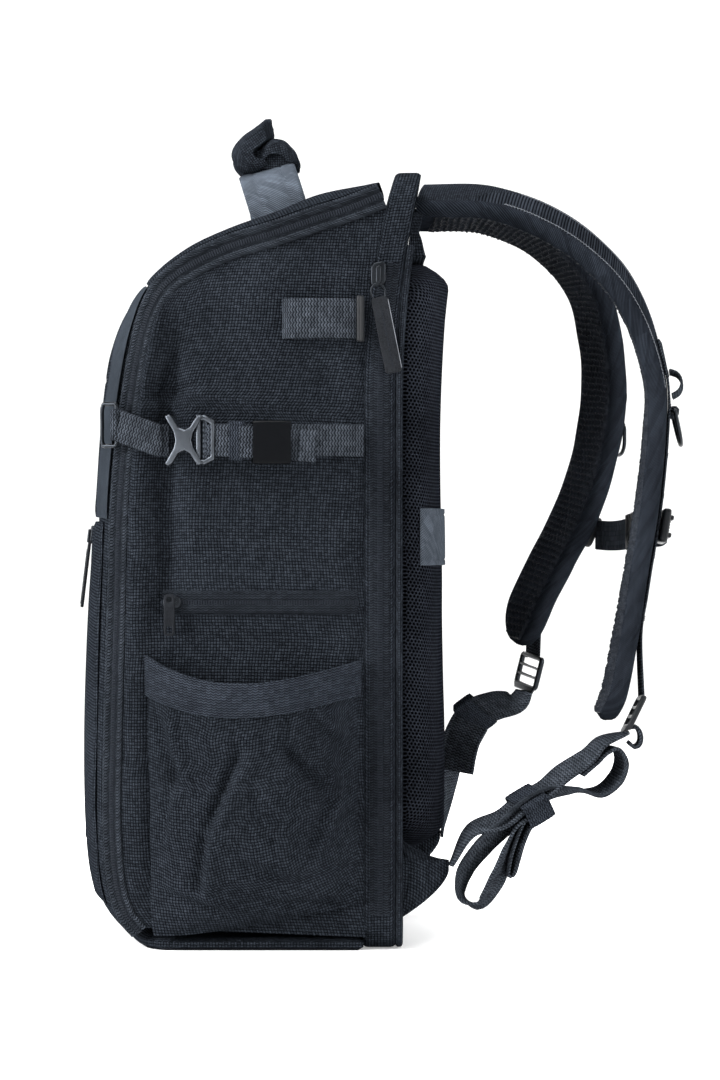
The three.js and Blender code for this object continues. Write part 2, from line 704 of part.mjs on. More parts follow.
// A folded triangle of fabric at the lower corner, which the webbing comes out of
function wing(side) {
  const shape = new THREE.Shape();
  shape.moveTo(0, 0);
  shape.lineTo(0.2 * WING_LENGTH, 0.05 * WING_HEIGHT);
  shape.quadraticCurveTo(0.75 * WING_LENGTH, 0.3 * WING_HEIGHT, WING_LENGTH, 0.57 * WING_HEIGHT);
  shape.lineTo(WING_LENGTH, 0.72 * WING_HEIGHT);
  shape.quadraticCurveTo(0.35 * WING_LENGTH, 0.8 * WING_HEIGHT, 0, WING_HEIGHT);
  const corner = vec(side * wingPlace(), gussetRear(0) + GAP, wingBottom());
  return placed(plate(shape, WING_THICKNESS, 1.5), vec(0, 1, 0), vec(0, 0, 1), vec(1, 0, 0), corner);
}

function wingPlace() {
  return HALF_WIDTH - PIPING - WING_THICKNESS / 2 - 2 * GAP;
}

function wingBottom() {
  return 0.037 * PACK_HEIGHT;
}

function addHandle() {
  // The handle stands square on the sloping top
  const slope = edgeLine.getTangent(HANDLE_PLACE);
  const up = vec(0, -slope.z, slope.y);
  const half = HANDLE_SPAN / 2;
  const turn = THREE.MathUtils.radToDeg(Math.asin(half / HALF_WIDTH));
  const foot = frontAt(HANDLE_PLACE, turn, 0).setX(0).addScaledVector(up, 6 * GAP);
  const rows = [[-1, 0], [-0.97, 0.3], [-0.66, 0.8], [0, 1], [0.66, 0.8], [0.97, 0.3], [1, 0]];
  const path = rows.map(([a, b]) => ({
    at: foot.clone().addScaledVector(up, b * HANDLE_RISE).setX(a * half),
  }));
  add('handle_strap', strap(path, {
    across: slope, width: HANDLE_WIDTH, thick: 3, steps: 24,
  }), FABRIC);
  add('handle_grip', handleGrip(foot.addScaledVector(up, HANDLE_RISE)), FABRIC);
}

// A fold of fabric over the middle of the handle, on its top face
function handleGrip(crest) {
  const half = GRIP_LENGTH / 2;
  return loft([-1, -0.8, -0.4, 0, 0.4, 0.8, 1].map((share) => {
    const full = 1 - 0.25 * share ** 4;
    return ROUND.map(([a, b]) => vec(
      share * half,
      crest.y + a * (GRIP_DEPTH / 2) * full,
      crest.z + GRIP_SEAT + (GRIP_HEIGHT / 2) * full * (1 + b),
    ));
  }));
}

function addSides() {
  for (const [name, side] of [['right', 1], ['left', -1]]) {
    add(`side_pocket_${name}`, pocketPatch(side, 0, 1, GAP, CLOTH, 12, 7), FABRIC);
    const share = HEM_HEIGHT / POCKET_HEM;
    add(`pocket_hem_${name}`, pocketPatch(side, 1 - share, 1, GAP * 2 + CLOTH, CLOTH, 12, 1), FABRIC);
    add(`lash_loop_${name}`, lashLoop(side), WEB);
  }
  addSideZip();
  addRearPull();
  addRightStrap();
  addLeftStrap();
}

// The pocket's cloth from one seam to the other, u, and from the base to its hem, v
function pocketAt(u, v) {
  const front = sideEdge(0.2).y + 0.075 * PACK_DEPTH + 2 * (1 - v);
  const rear = GUSSET_FRONT - 3 * CLOTH;
  const hem = POCKET_HEM + 2 - 4 * u - HEM_SAG * Math.sin(Math.PI * Math.pow(u, 0.8));
  const foot = BASE_THICKNESS + CLOTH + 20 * Math.pow(u, 1.3);
  const rise = Math.pow(Math.sin(Math.min(v / 0.4, 1) * Math.PI / 2), 0.8) * (1 - 0.2 * v);
  return {
    y: THREE.MathUtils.lerp(front, rear, u),
    z: THREE.MathUtils.lerp(foot, hem, v),
    off: POCKET_BULGE * Math.pow(Math.sin(Math.PI * u), 0.7) * rise,
  };
}

function pocketPatch(side, from, to, off, thickness, columns, rows) {
  const surface = (u, v) => {
    const place = pocketAt(u, THREE.MathUtils.lerp(from, to, v));
    return onSide(1, place.y, place.z, place.off + GAP);
  };
  const lifted = (u, v, height) => {
    const step = 0.01;
    const clamp = (value) => THREE.MathUtils.clamp(value, 0, 1);
    const du = surface(clamp(u + step), v).sub(surface(clamp(u - step), v));
    const dv = surface(u, clamp(v + step)).sub(surface(u, clamp(v - step)));
    const normal = du.cross(dv).normalize();
    const point = surface(u, v).addScaledVector(normal, height);
    return point.setX(side * point.x);
  };
  return between((u, v) => lifted(u, v, off + thickness), (u, v) => lifted(u, v, off), columns, rows);
}

// A loop of webbing near the top of the side, for a walking pole
function lashLoop(side) {
  const rear = gussetFront(LASH_LEVEL) - 3;
  const rows = [0, 0.08, 0.3, 0.5, 0.7, 0.92, 1].map((share) => {
    const y = rear - LASH_LENGTH * (1 - share);
    const lift = LASH_BOW * Math.pow(Math.sin(Math.PI * share), 0.6);
    return { at: onSide(side, y, LASH_LEVEL, WEBBING / 2 + GAP + lift) };
  });
  return strap(rows, { across: vec(0, 0, 1), width: LOWER_WEBBING_WIDTH, thick: WEBBING, steps: 16 });
}

// A zip across the side into the compartment, with a moulded pull at its front end
function addSideZip() {
  const rear = GUSSET_FRONT - 2 * CLOTH;
  const band = (u, v, off) => onSide(
    1,
    rear - SIDE_ZIP_LENGTH * (1 - u),
    SIDE_ZIP_LEVEL + (v - 0.5) * SIDE_ZIP_HEIGHT,
    GAP + off,
  );
  add('side_zip_right', between((u, v) => band(u, v, ZIP_PROUD), (u, v) => band(u, v, 0), 12, 1), WEB);
  const shape = roundedRectangle(PULL_WIDTH, PULL_LENGTH, 2);
  const middle = onSide(
    1,
    rear - SIDE_ZIP_LENGTH + PULL_WIDTH * 0.7,
    SIDE_ZIP_LEVEL - PULL_LENGTH * 0.3,
    ZIP_PROUD + 3 * GAP + PULL_STAND,
  );
  const body = plate(shape, PULL_THICKNESS, 0.8);
  add('side_zip_pull_right', placed(body, vec(0, 1, 0), vec(0, 0, 1), vec(1, 0, 0), middle), PLASTIC);
}

// The leather pull of the upright zip, which hangs flat on it
function addRearPull() {
  const z = REAR_PULL_LEVEL;
  const off = ZIP_PROUD + 2 * GAP + PULL_THICKNESS / 2;
  const middle = vec(HALF_WIDTH + off, gussetFront(z) + 0.62 * GUSSET_DEPTH, z);
  const up = vec(0, PULL_SLANT, 1).normalize();
  const across = vec(0, 1, -PULL_SLANT).normalize();
  const shape = roundedRectangle(LEATHER_PULL_WIDTH, LEATHER_PULL_LENGTH, 2.5);
  const body = plate(shape, PULL_THICKNESS, 0.8);
  add('rear_zip_pull_right', placed(body, across, up, vec(1, 0, 0), middle), LEATHER);
}

// Where the middle of the side strap runs: how far it stands off the side at a place along it
function sideStrapAt(side, y, extra = 0) {
  const along = (y + 0.36 * PACK_DEPTH) / (0.627 * PACK_DEPTH);
  const lift = SIDE_STRAP_BOW * Math.pow(Math.sin(Math.PI * THREE.MathUtils.clamp(along, 0, 1)), 0.6);
  return onSide(side, y, SIDE_STRAP_LEVEL, WEBBING / 2 + GAP + lift + extra);
}

function buckleMiddle() {
  return -0.175 * PACK_DEPTH;
}

// The wire ring at the pack's front corner that the side strap is sewn round
function ringMiddle(side) {
  const anchor = frontEdge(RING_PLACE);
  anchor.y -= RING_WIRE;
  anchor.z = SIDE_STRAP_LEVEL + RING_RISE;
  anchor.x += ZIP_PROUD + RING_WIRE + RING_STAND;
  return anchor.setX(side * anchor.x);
}

function frontWebbing(side, rear, steps = 12) {
  const ring = ringMiddle(side);
  const start = ring.clone().add(vec(side * RING_WIRE / 2, RING_WIRE * 2.65, 0));
  const edge = -0.335 * PACK_DEPTH;
  const bend = sideStrapAt(side, edge, RING_STAND + 1);
  bend.z = THREE.MathUtils.lerp(ring.z, SIDE_STRAP_LEVEL, 0.5);
  const rows = [{ at: start }, { at: bend }];
  const stops = Math.max(Math.round(steps / 5), 2);
  for (let k = 1; k <= stops; k += 1) {
    rows.push({ at: sideStrapAt(side, THREE.MathUtils.lerp(edge, rear, k / stops)) });
  }
  return strap(rows, { across: vec(0, 0, 1), width: SIDE_WEBBING_WIDTH, thick: WEBBING, steps });
}

function rearWebbing(side, front) {
  const rear = gussetFront(SIDE_STRAP_LEVEL) - 3 * GAP;
  const rows = [0, 0.25, 0.5, 0.75, 0.92, 1].map((share) => ({
    at: sideStrapAt(side, THREE.MathUtils.lerp(front, rear, share)),
  }));
  return strap(rows, { across: vec(0, 0, 1), width: SIDE_WEBBING_WIDTH, thick: WEBBING, steps: 16 });
}

function strapRing(side) {
  const middle = ringMiddle(side);
  const half = SIDE_WEBBING_WIDTH / 2 + RING_WIRE;
  const rows = [[-1, 0.8], [-0.8, 1], [0.8, 1], [1, 0.8], [1, -0.8], [0.8, -1], [-0.8, -1], [-1, -0.8]];
  const path = rows.map(([a, b]) => ({
    at: middle.clone().add(vec(side * a * RING_ROUNDING, a * RING_WIRE * 1.6, b * half)),
  }));
  return ringOf(path, vec(1, -0.6, 0).normalize());
}

// A closed ring of wire
function ringOf(path, across) {
  return strap(path, {
    across, width: RING_WIRE, thick: RING_WIRE, steps: 14, outline: WIRE, ring: true,
  });
}

function addRightStrap() {
  const half = BUCKLE_SIZE / 2;
  const middle = buckleMiddle();
  add('strap_ring_right', strapRing(1), METAL);
  add('side_strap_front_right', frontWebbing(1, middle - half - GAP), WEB);
  add('side_buckle_socket_right', buckleHalf(1, middle - half / 2, 1), PLASTIC);
  add('side_buckle_plug_right', buckleHalf(1, middle + half / 2, -1), PLASTIC);
  add('side_strap_rear_right', rearWebbing(1, middle + half + 2 * GAP), WEB);
  const place = middle + BUCKLE_SIZE * 1.55;
  add('strap_keeper_right', strapSleeve(1, place, SIDE_WEBBING_WIDTH * 1.1, WEBBING, 2 * GAP), WEB);
}

// The other side's strap is one length of webbing through a slide buckle
function addLeftStrap() {
  const rear = gussetFront(SIDE_STRAP_LEVEL) - 3 * GAP;
  add('strap_ring_left', strapRing(-1), METAL);
  add('side_strap_left', frontWebbing(-1, rear, 24), WEB);
  const length = BUCKLE_SIZE * 0.8;
  const slide = strapSleeve(-1, buckleMiddle(), length, BUCKLE_THICKNESS / 2, SLEEVE_ROOM);
  add('side_buckle_left', slide, PLASTIC);
}

// Half of a side-release buckle with a waist where the two halves meet
function buckleHalf(side, y, facing) {
  const length = BUCKLE_SIZE / 2 - GAP;
  const half = BUCKLE_SIZE / 2;
  const shape = new THREE.Shape();
  const end = facing * length / 2;
  shape.moveTo(end, -half * 0.72);
  shape.lineTo(end * 0.1, -half * 0.78);
  shape.lineTo(-end * 0.7, -half * 0.98);
  shape.lineTo(-end, -half * 0.8);
  shape.lineTo(-end, half * 0.8);
  shape.lineTo(-end * 0.7, half * 0.98);
  shape.lineTo(end * 0.1, half * 0.78);
  shape.lineTo(end, half * 0.72);
  const at = sideStrapAt(side, y);
  const chord = sideStrapAt(side, y + length / 2).sub(sideStrapAt(side, y - length / 2)).normalize();
  const face = chord.clone().cross(vec(0, 0, 1)).normalize();
  return placed(plate(shape, BUCKLE_THICKNESS, 1), chord, vec(0, 0, 1), face, at);
}

// A flat sleeve round the side strap, with its middle at y
function strapSleeve(side, y, length, thick, play) {
  const room = WEBBING / 2 + play;
  const tall = SIDE_WEBBING_WIDTH / 2 + 3 * GAP;
  const corners = [[1, 1], [-1, 1], [-1, -1], [1, -1]];
  return loft(corners.map(([a, b]) => {
    const points = [-0.5, 0.5].map((end) => sideStrapAt(side, y + end * length));
    const inner = points.map((at) => vec(at.x + a * room, at.y, at.z + b * tall));
    const outer = points.map((at) => vec(at.x + a * (room + thick), at.y, at.z + b * (tall + thick)));
    return [inner[0], inner[1], outer[1], outer[0]];
  }), true);
}

// Shoulder straps

function strapRows(table, side) {
  const start = gussetRear(STRAP_TOP) + STRAP_SEAT;
  return table.map((row) => ({
    at: vec(
      side * row.side * STRAP_SPREAD,
      start + row.out * STRAP_REACH,
      STRAP_TOP - row.down * STRAP_DROP,
    ),
    width: row.width * STRAP_WIDTH,
    thick: STRAP_THICKNESS,
    roll: row.roll,
  }));
}

function strapCurve(rows) {
  return new THREE.CatmullRomCurve3(rows.map((row) => row.at), false, 'centripetal');
}

// A point on the outer face of a shoulder strap, off above it, with the frame there
function onStrap(rows, t, off) {
  const curve = strapCurve(rows);
  const frame = frameAt(curve, t, vec(1, 0, 0), read(rows, 'roll', t));
  if (frame.face.y < 0) frame.face.negate();
  const point = curve.getPoint(t).addScaledVector(frame.face, STRAP_THICKNESS / 2 + off);
  return { point, ...frame };
}

function addShoulderStraps() {
  for (const { name, side, table, route, leave } of SHOULDERS) {
    const rows = strapRows(table, side);
    const lock = lockPlace(rows, routeRows(route, side));
    add(`shoulder_pad_${name}`, strap(rows, {
      across: vec(1, 0, 0), steps: 24, outline: CUSHION,
    }), MESH);
    add(`strap_rail_${name}`, strapRail(rows, leave, lock.top), WEB);
    add(`strap_lock_${name}`, strapLock(lock), PLASTIC);
    add(`d_ring_${name}`, dRing(rows), METAL);
    add(`sternum_slider_${name}`, sternumSlider(rows), PLASTIC);
  }
  addLowerWebbing();
}

// Webbing sewn down the outer face, from the shoulder to the lock at the end of the pad
function strapRail(rows, leave, lockTop) {
  const points = [];
  for (let t = 0.4; t < leave; t += 0.045) {
    points.push({ at: onStrap(rows, t, RAIL_SEAT + WEBBING / 2).point, roll: read(rows, 'roll', t) });
  }
  points.push({ at: lockTop, roll: read(rows, 'roll', 1) });
  return strap(points, { across: vec(1, 0, 0), width: RAIL_WIDTH, thick: WEBBING, steps: 26 });
}

// The place along a strap's table where its centre line has come down by a share of the drop
function placeAt(rows, share) {
  const curve = strapCurve(rows);
  const level = STRAP_TOP - share * STRAP_DROP;
  for (let t = 0.2; t < 1; t += 0.004) {
    if (curve.getPoint(t).z < level) return t;
  }
  return 1;
}

function dRing(rows) {
  const off = railTop() + RING_WIRE / 2;
  const { point, side, tangent, face } = onStrap(rows, placeAt(rows, D_RING_DROP), off);
  const half = RAIL_WIDTH / 2 + RING_WIRE;
  const outline = [
    [-1, 0.9], [0, 1], [1, 0.9], [0.95, -0.1], [0.6, -0.75], [0, -1], [-0.6, -0.75], [-0.95, -0.1],
  ];
  const path = outline.map(([a, b]) => ({
    at: point.clone()
      .addScaledVector(side, a * half)
      .addScaledVector(tangent, -b * half * 0.8)
      .addScaledVector(face, (1 - b) * D_RING_TILT),
  }));
  return ringOf(path, face);
}

// How far off the pad the pieces on the rail sit
function railTop() {
  return RAIL_SEAT + WEBBING + 2 * GAP;
}

// The block on the rail that the sternum strap is fixed to
function sternumSlider(rows) {
  const off = railTop() + SLIDER_DEPTH / 2;
  const { point, side, tangent } = onStrap(rows, placeAt(rows, STERNUM_DROP), off);
  const shape = roundedRectangle(RAIL_WIDTH + 8, SLIDER_SIZE, 3);
  const up = tangent.clone().negate();
  const normal = side.clone().cross(up);
  return placed(plate(shape, SLIDER_DEPTH, 1.2), side, up, normal, point);
}

// The inner edge of a slider, where the sternum strap starts
function sternumEnd(table, side) {
  const rows = strapRows(table, side);
  const off = railTop() + SLIDER_DEPTH / 2;
  const { point, side: across } = onStrap(rows, placeAt(rows, STERNUM_DROP), off);
  return point.addScaledVector(across, -side * (RAIL_WIDTH / 2 + 4 + 7 * GAP));
}

function addSternumStrap() {
  const right = sternumEnd(NEAR_STRAP, 1);
  const left = sternumEnd(FAR_STRAP, -1);
  const half = STERNUM_BUCKLE_LENGTH / 2;
  const middle = right.clone().lerp(left, 0.5).add(vec(0, 5, 0));
  const across = right.clone().sub(left).normalize();
  const span = (from, to) => [0, 0.5, 1].map((share) => ({ at: from.clone().lerp(to, share) }));
  const options = { across: vec(0, 0, 1), width: STERNUM_WIDTH, thick: WEBBING, steps: 6 };
  const nearEnd = middle.clone().addScaledVector(across, half + GAP);
  const farEnd = middle.clone().addScaledVector(across, -half - GAP);
  add('sternum_webbing_right', strap(span(right, nearEnd), options), WEB);
  add('sternum_webbing_left', strap(span(left, farEnd), options), WEB);
  const shape = roundedRectangle(2 * half, STERNUM_WIDTH + 8, 5);
  const up = vec(0, 0, 1).addScaledVector(across, -across.z).normalize();
  const body = plate(shape, BUCKLE_THICKNESS, 2);
  add('sternum_buckle', placed(body, across, up, across.clone().cross(up), middle), PLASTIC);
}

// The adjusting webbing from the wings up to the shoulder straps' ends

// Routes of the lower webbing from a wing's tip: out as a share of the reach below, up of the
// rise, side of the spread; roll in degrees turns its face to the side.
const ROUTE_REACH = 1.6;     // of the reach of a shoulder strap
const ROUTE_RISE = 5.4;      // of the height from the wing's tip to the strap's lower end
const NEAR_ROUTE = [
  { out: 0.000, up: 0.000, side: 1.27, roll: 0 },
  { out: 0.055, up: 0.045, side: 1.25, roll: 0 },
  { out: 0.134, up: 0.059, side: 1.23, roll: 0 },
  { out: 0.190, up: 0.080, side: 1.20, roll: 0 },
  { out: 0.249, up: 0.097, side: 1.16, roll: 0 },
  { out: 0.294, up: 0.116, side: 1.13, roll: 0 },
  { out: 0.361, up: 0.138, side: 1.09, roll: 0 },
  { out: 0.401, up: 0.157, side: 1.06, roll: 0 },
  { out: 0.462, up: 0.168, side: 1.03, roll: 0 },
];
const FAR_ROUTE = [
  { out: 0.000, up: 0.000, side: 1.27, roll: 0 },
  { out: 0.020, up: 0.060, side: 1.24, roll: 18 },
  { out: 0.035, up: 0.125, side: 1.18, roll: 50 },
  { out: 0.087, up: 0.170, side: 1.10, roll: 64 },
  { out: 0.150, up: 0.185, side: 1.02, roll: 56 },
  { out: 0.214, up: 0.192, side: 0.97, roll: 38 },
  { out: 0.233, up: 0.206, side: 0.955, roll: 26 },
];
// The free end of the near webbing: from the lock, under the keeper and round in a long loop
const NEAR_TAIL = [
  { out: 0.445, up: 0.150, side: 1.03, roll: 0 },
  { out: 0.452, up: 0.128, side: 1.04, roll: 0 },
  { out: 0.436, up: 0.108, side: 1.05, roll: 0 },
  { out: 0.392, up: 0.092, side: 1.08, roll: 0 },
  { out: 0.330, up: 0.094, side: 1.11, roll: 0 },
  { out: 0.255, up: 0.090, side: 1.15, roll: 0 },
  { out: 0.195, up: 0.073, side: 1.20, roll: 0 },
  { out: 0.140, up: 0.048, side: 1.23, roll: 8 },
  { out: 0.085, up: 0.024, side: 1.25, roll: 14 },
  { out: 0.035, up: -0.010, side: 1.26, roll: 10 },
  { out: 0.030, up: -0.040, side: 1.26, roll: 0 },
  { out: 0.072, up: -0.050, side: 1.25, roll: -10 },
  { out: 0.120, up: -0.020, side: 1.23, roll: -14 },
  { out: 0.151, up: 0.018, side: 1.21, roll: -6 },
  { out: 0.172, up: 0.052, side: 1.20, roll: 0 },
  { out: 0.198, up: 0.067, side: 1.19, roll: 0 },
  { out: 0.224, up: 0.077, side: 1.19, roll: 0 },
];
const FAR_TAIL = [
  { out: 0.085, up: 0.160, side: 1.01, roll: 62 },
  { out: 0.060, up: 0.130, side: 0.99, roll: 60 },
  { out: 0.052, up: 0.095, side: 0.99, roll: 60 },
  { out: 0.055, up: 0.060, side: 0.99, roll: 60 },
];

function routeRows(table, side) {
  const y = gussetRear(0) + WING_LENGTH + 2 * GAP + WEBBING / 2;
  const z = wingBottom() + 0.645 * WING_HEIGHT;
  const out = ROUTE_REACH * STRAP_REACH;
  const up = ROUTE_RISE * (STRAP_TOP - STRAP_DROP - z);
  return table.map((row) => ({
    at: vec(side * row.side * STRAP_SPREAD, y + row.out * out, z + row.up * up),
    roll: side * row.roll,
  }));
}

function lowerStrap(rows, steps) {
  return strap(rows, { across: vec(1, 0, 0), width: LOWER_WEBBING_WIDTH, thick: WEBBING, steps });
}

function addLowerWebbing() {
  const near = routeRows(NEAR_ROUTE, 1);
  const far = routeRows(FAR_ROUTE, -1);
  add('lower_webbing_right', lowerStrap(near, 24), WEB);
  add('lower_webbing_left', lowerStrap(far, 20), WEB);
  add('webbing_tail_right', lowerStrap(routeRows(NEAR_TAIL, 1), 36), WEB);
  add('webbing_tail_left', lowerStrap(routeRows(FAR_TAIL, -1), 8), WEB);
  add('webbing_keeper_right', webbingKeeper(near, 0.4), WEB);
}

// An elastic sleeve round the lower webbing and what is folded below it
function webbingKeeper(rows, t) {
  const curve = new THREE.CatmullRomCurve3(rows.map((row) => row.at), false, 'centripetal');
  const { tangent, side, face } = frameAt(curve, t, vec(1, 0, 0), 0);
  const middle = curve.getPoint(t);
  const wide = LOWER_WEBBING_WIDTH / 2 + 6 * GAP;
  const below = KEEPER_ROOM;
  const above = WEBBING / 2 + GAP;
  const down = face.z < 0 ? 1 : -1;
  const corners = [[1, -above], [1, below], [-1, below], [-1, -above]];
  return loft(corners.map(([a, depth]) => {
    const grow = depth > 0 ? WEBBING : -WEBBING;
    const at = (extra, end) => middle.clone()
      .addScaledVector(side, a * (wide + extra * WEBBING))
      .addScaledVector(face, down * (depth + extra * grow))
      .addScaledVector(tangent, end * KEEPER_LENGTH / 2);
    return [at(0, -1), at(0, 1), at(1, 1), at(1, -1)];
  }), true);
}

// The ladder lock between a pad's end and the webbing below it: its middle, its own
// directions, and the point just above it that the rail comes down to
function lockPlace(pad, route) {
  const last = route[route.length - 1].at;
  const along = strapCurve(pad).getTangent(1).negate();
  const roll = THREE.MathUtils.degToRad(-pad[pad.length - 1].roll);
  const sideways = vec(1, 0, 0).addScaledVector(along, -along.x).normalize();
  sideways.applyAxisAngle(along, roll);
  const reach = LOCK_LENGTH / 2 + 6.5 * GAP;
  return {
    along,
    sideways,
    middle: last.clone().addScaledVector(along, reach),
    top: last.clone().addScaledVector(along, 2 * reach + 2 * GAP),
  };
}

function strapLock({ along, sideways, middle }) {
  const body = plate(roundedRectangle(LOCK_WIDTH, LOCK_LENGTH, 4), LOCK_THICKNESS, 1.2);
  return placed(body, sideways, along, sideways.clone().cross(along), middle);
}

// leave is the share of each strap where the rail comes off the pad
const SHOULDERS = [
  { name: 'right', side: 1, table: NEAR_STRAP, route: NEAR_ROUTE, leave: 0.83 },
  { name: 'left', side: -1, table: FAR_STRAP, route: FAR_ROUTE, leave: 0.97 },
];

addShell();
addZips();
addFront();
addBack();
addHandle();
addSides();
addShoulderStraps();
addSternumStrap();

export default pack;
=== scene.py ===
"""A camera backpack dressed in fabric, mesh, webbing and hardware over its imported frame.

Lengths are in millimetres until a mesh is made, and in metres from there on.
+X is the wearer's right, -Y the front of the pack, +Y the side worn against the back.
"""
import math

import bpy
import numpy as np
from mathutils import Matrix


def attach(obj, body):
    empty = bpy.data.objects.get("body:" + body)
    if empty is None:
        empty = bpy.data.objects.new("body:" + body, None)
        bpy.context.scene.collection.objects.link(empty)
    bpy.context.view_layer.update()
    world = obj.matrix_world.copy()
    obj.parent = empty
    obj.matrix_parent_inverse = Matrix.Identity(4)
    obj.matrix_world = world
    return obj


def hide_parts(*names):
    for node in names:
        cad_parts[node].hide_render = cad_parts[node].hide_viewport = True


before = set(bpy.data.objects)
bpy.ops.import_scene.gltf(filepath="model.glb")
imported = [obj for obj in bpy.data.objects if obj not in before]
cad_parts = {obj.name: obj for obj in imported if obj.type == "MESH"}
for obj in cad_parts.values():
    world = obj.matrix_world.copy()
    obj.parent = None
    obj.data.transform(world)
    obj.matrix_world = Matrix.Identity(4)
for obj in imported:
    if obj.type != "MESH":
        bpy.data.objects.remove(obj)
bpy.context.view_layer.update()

MM = 0.001

# The shell's measures, as in the frame
PACK_HEIGHT = 490
PACK_DEPTH = 240
HALF_WIDTH = 145
WALL = 6
BASE_THICKNESS = 8
CLOTH = 2
GAP = 0.35
SEAM = 0.6
SIDE_BULGE = 6
ZIP_BAND = 17.5
ZIP_PROUD = 1.8
GUSSET_FRONT = 65.5
GUSSET_DEPTH = 20
GUSSET_WALL = 5
GUSSET_LEAN = 21
LEAN_START = 0.7
TOP_CORNER = 26
BOTTOM_CORNER = 22
PIPING = 5
PAD_WIDTH_BACK = 248
PAD_DEPTH_BACK = 31
PAD_TOP = 432
PAD_BOTTOM = 62
CHANNEL_WIDTH = 64
CHANNEL_DEPTH = 12
BAND_HEIGHT = 36
BAND_LEVEL = 259
YOKE_WIDTH = 230
YOKE_BOTTOM = 434
YOKE_TOP = 464
WING_LENGTH = 33
WING_HEIGHT = 53
HANDLE_SPAN = 120
HANDLE_RISE = 31
HANDLE_WIDTH = 37.5
HANDLE_PLACE = 0.83
POCKET_BULGE = 34
POCKET_HEM = 183
HEM_SAG = 15.5
HEM_HEIGHT = 25
WEBBING = 1.6
SIDE_WEBBING_WIDTH = 20
LOWER_WEBBING_WIDTH = 25
SIDE_STRAP_LEVEL = 319
SIDE_STRAP_BOW = 13
BUCKLE_SIZE = 32
RING_WIRE = 3
RING_PLACE = 0.39
RING_RISE = 10
RING_STAND = 5
LASH_LEVEL = 395
LASH_LENGTH = 50
LASH_BOW = 11
SIDE_ZIP_LENGTH = 122
SIDE_ZIP_LEVEL = 218
STRAP_SEAT = 3.2
STRAP_REACH = 150
STRAP_DROP = 333
STRAP_TOP = 476
STRAP_SPREAD = 105
STRAP_WIDTH = 68
STRAP_THICKNESS = 13
RAIL_WIDTH = 20
RAIL_SEAT = 0.8
STERNUM_DROP = 0.62
D_RING_DROP = 0.44
FRONT_END = 11.4 / 18
SIDE_CORNER = 11.6 / 18
POCKET_TOP = 0.328
WING_LOW = 0.037
WING_THICKNESS = 8
SECTION_STEP = 2.2
SIDE_COLUMNS = 90
SIDE_ROWS = 130
REAR_PULL_LEVEL = 385
SIDE_PULL_WIDTH = 6.7
SIDE_PULL_LENGTH = 26
STERNUM_WIDTH = 20
LOCK_WIDTH = 32
LOCK_HEIGHT = 24
ROUTE_START = 0.645
ROUTE_REACH = 1.6
ROUTE_RISE = 5.4
BARTACK_DROPS = (0.34, 0.40, 0.49, 0.57, 0.68, 0.8)
SIDES = (("right", 1), ("left", -1))

# The front and top of the shell as shares of its depth and height: the zip, then the middle
PROFILE = [
    (-0.312, 0.024, -0.400, 0.024),
    (-0.346, 0.045, -0.452, 0.052),
    (-0.370, 0.080, -0.473, 0.086),
    (-0.383, 0.153, -0.486, 0.153),
    (-0.381, 0.260, -0.490, 0.260),
    (-0.371, 0.440, -0.479, 0.440),
    (-0.365, 0.555, -0.461, 0.560),
    (-0.353, 0.636, -0.453, 0.636),
    (-0.331, 0.721, -0.436, 0.724),
    (-0.318, 0.758, -0.424, 0.770),
    (-0.299, 0.799, -0.389, 0.812),
    (-0.274, 0.830, -0.338, 0.850),
    (-0.242, 0.852, -0.277, 0.880),
    (-0.173, 0.876, -0.183, 0.914),
    (-0.078, 0.898, -0.064, 0.940),
    (0.048, 0.917, 0.054, 0.961),
    (0.144, 0.933, 0.150, 0.981),
    (0.239, 0.948, 0.245, 0.990),
    (0.320, 0.964, 0.318, 0.992),
]

# Shoulder straps: out, down, side, width and roll, as in the frame
NEAR_STRAP = [
    (0.00, -0.004, 0.48, 1.00, 15),
    (0.301, 0.001, 0.52, 1.00, 16),
    (0.564, 0.047, 0.60, 0.97, 17),
    (0.789, 0.129, 0.70, 0.90, 16),
    (0.926, 0.231, 0.80, 0.86, 11),
    (0.998, 0.361, 0.87, 0.84, 5),
    (0.994, 0.447, 0.90, 0.83, 2),
    (0.959, 0.598, 0.93, 0.81, 0),
    (0.913, 0.721, 0.95, 0.79, 0),
    (0.866, 0.844, 0.97, 0.75, -3),
    (0.811, 0.961, 0.99, 0.68, -4),
    (0.768, 1.000, 1.00, 0.60, -4),
]
FAR_STRAP = [
    (0.00, -0.004, 0.48, 1.00, -8),
    (0.301, 0.001, 0.52, 1.00, -8),
    (0.564, 0.047, 0.60, 0.97, -11),
    (0.762, 0.141, 0.70, 0.90, -15),
    (0.833, 0.248, 0.79, 0.86, -19),
    (0.851, 0.367, 0.86, 0.84, -22),
    (0.801, 0.503, 0.89, 0.83, -23),
    (0.719, 0.610, 0.91, 0.81, -24),
    (0.618, 0.699, 0.92, 0.79, -25),
    (0.513, 0.798, 0.93, 0.74, -25),
    (0.471, 0.874, 0.94, 0.60, -25),
]


# Smooth lines through points, and frames along them

def vec(x, y, z):
    return np.array([x, y, z], float)


def unit(v):
    v = np.asarray(v, float)
    return v / np.maximum(np.linalg.norm(v, axis=-1, keepdims=True), 1e-9)


def smoothstep(x, low, high):
    t = np.clip((np.asarray(x, float) - low) / (high - low), 0, 1)
    return t * t * (3 - 2 * t)


def bump(x, middle, width):
    return np.exp(-(((np.asarray(x, float) - middle) / width) ** 2))


def nearer(u):
    """The share from the nearer of two edges."""
    return np.minimum(u, 1 - u)


def arch(x):
    """Up from 0 to 1 and down again while x goes from 0 to 1."""
    return np.sin(np.pi * np.clip(x, 0, 1))


def places(x, y, z):
    return np.stack(np.broadcast_arrays(x, y, z), -1).astype(float)


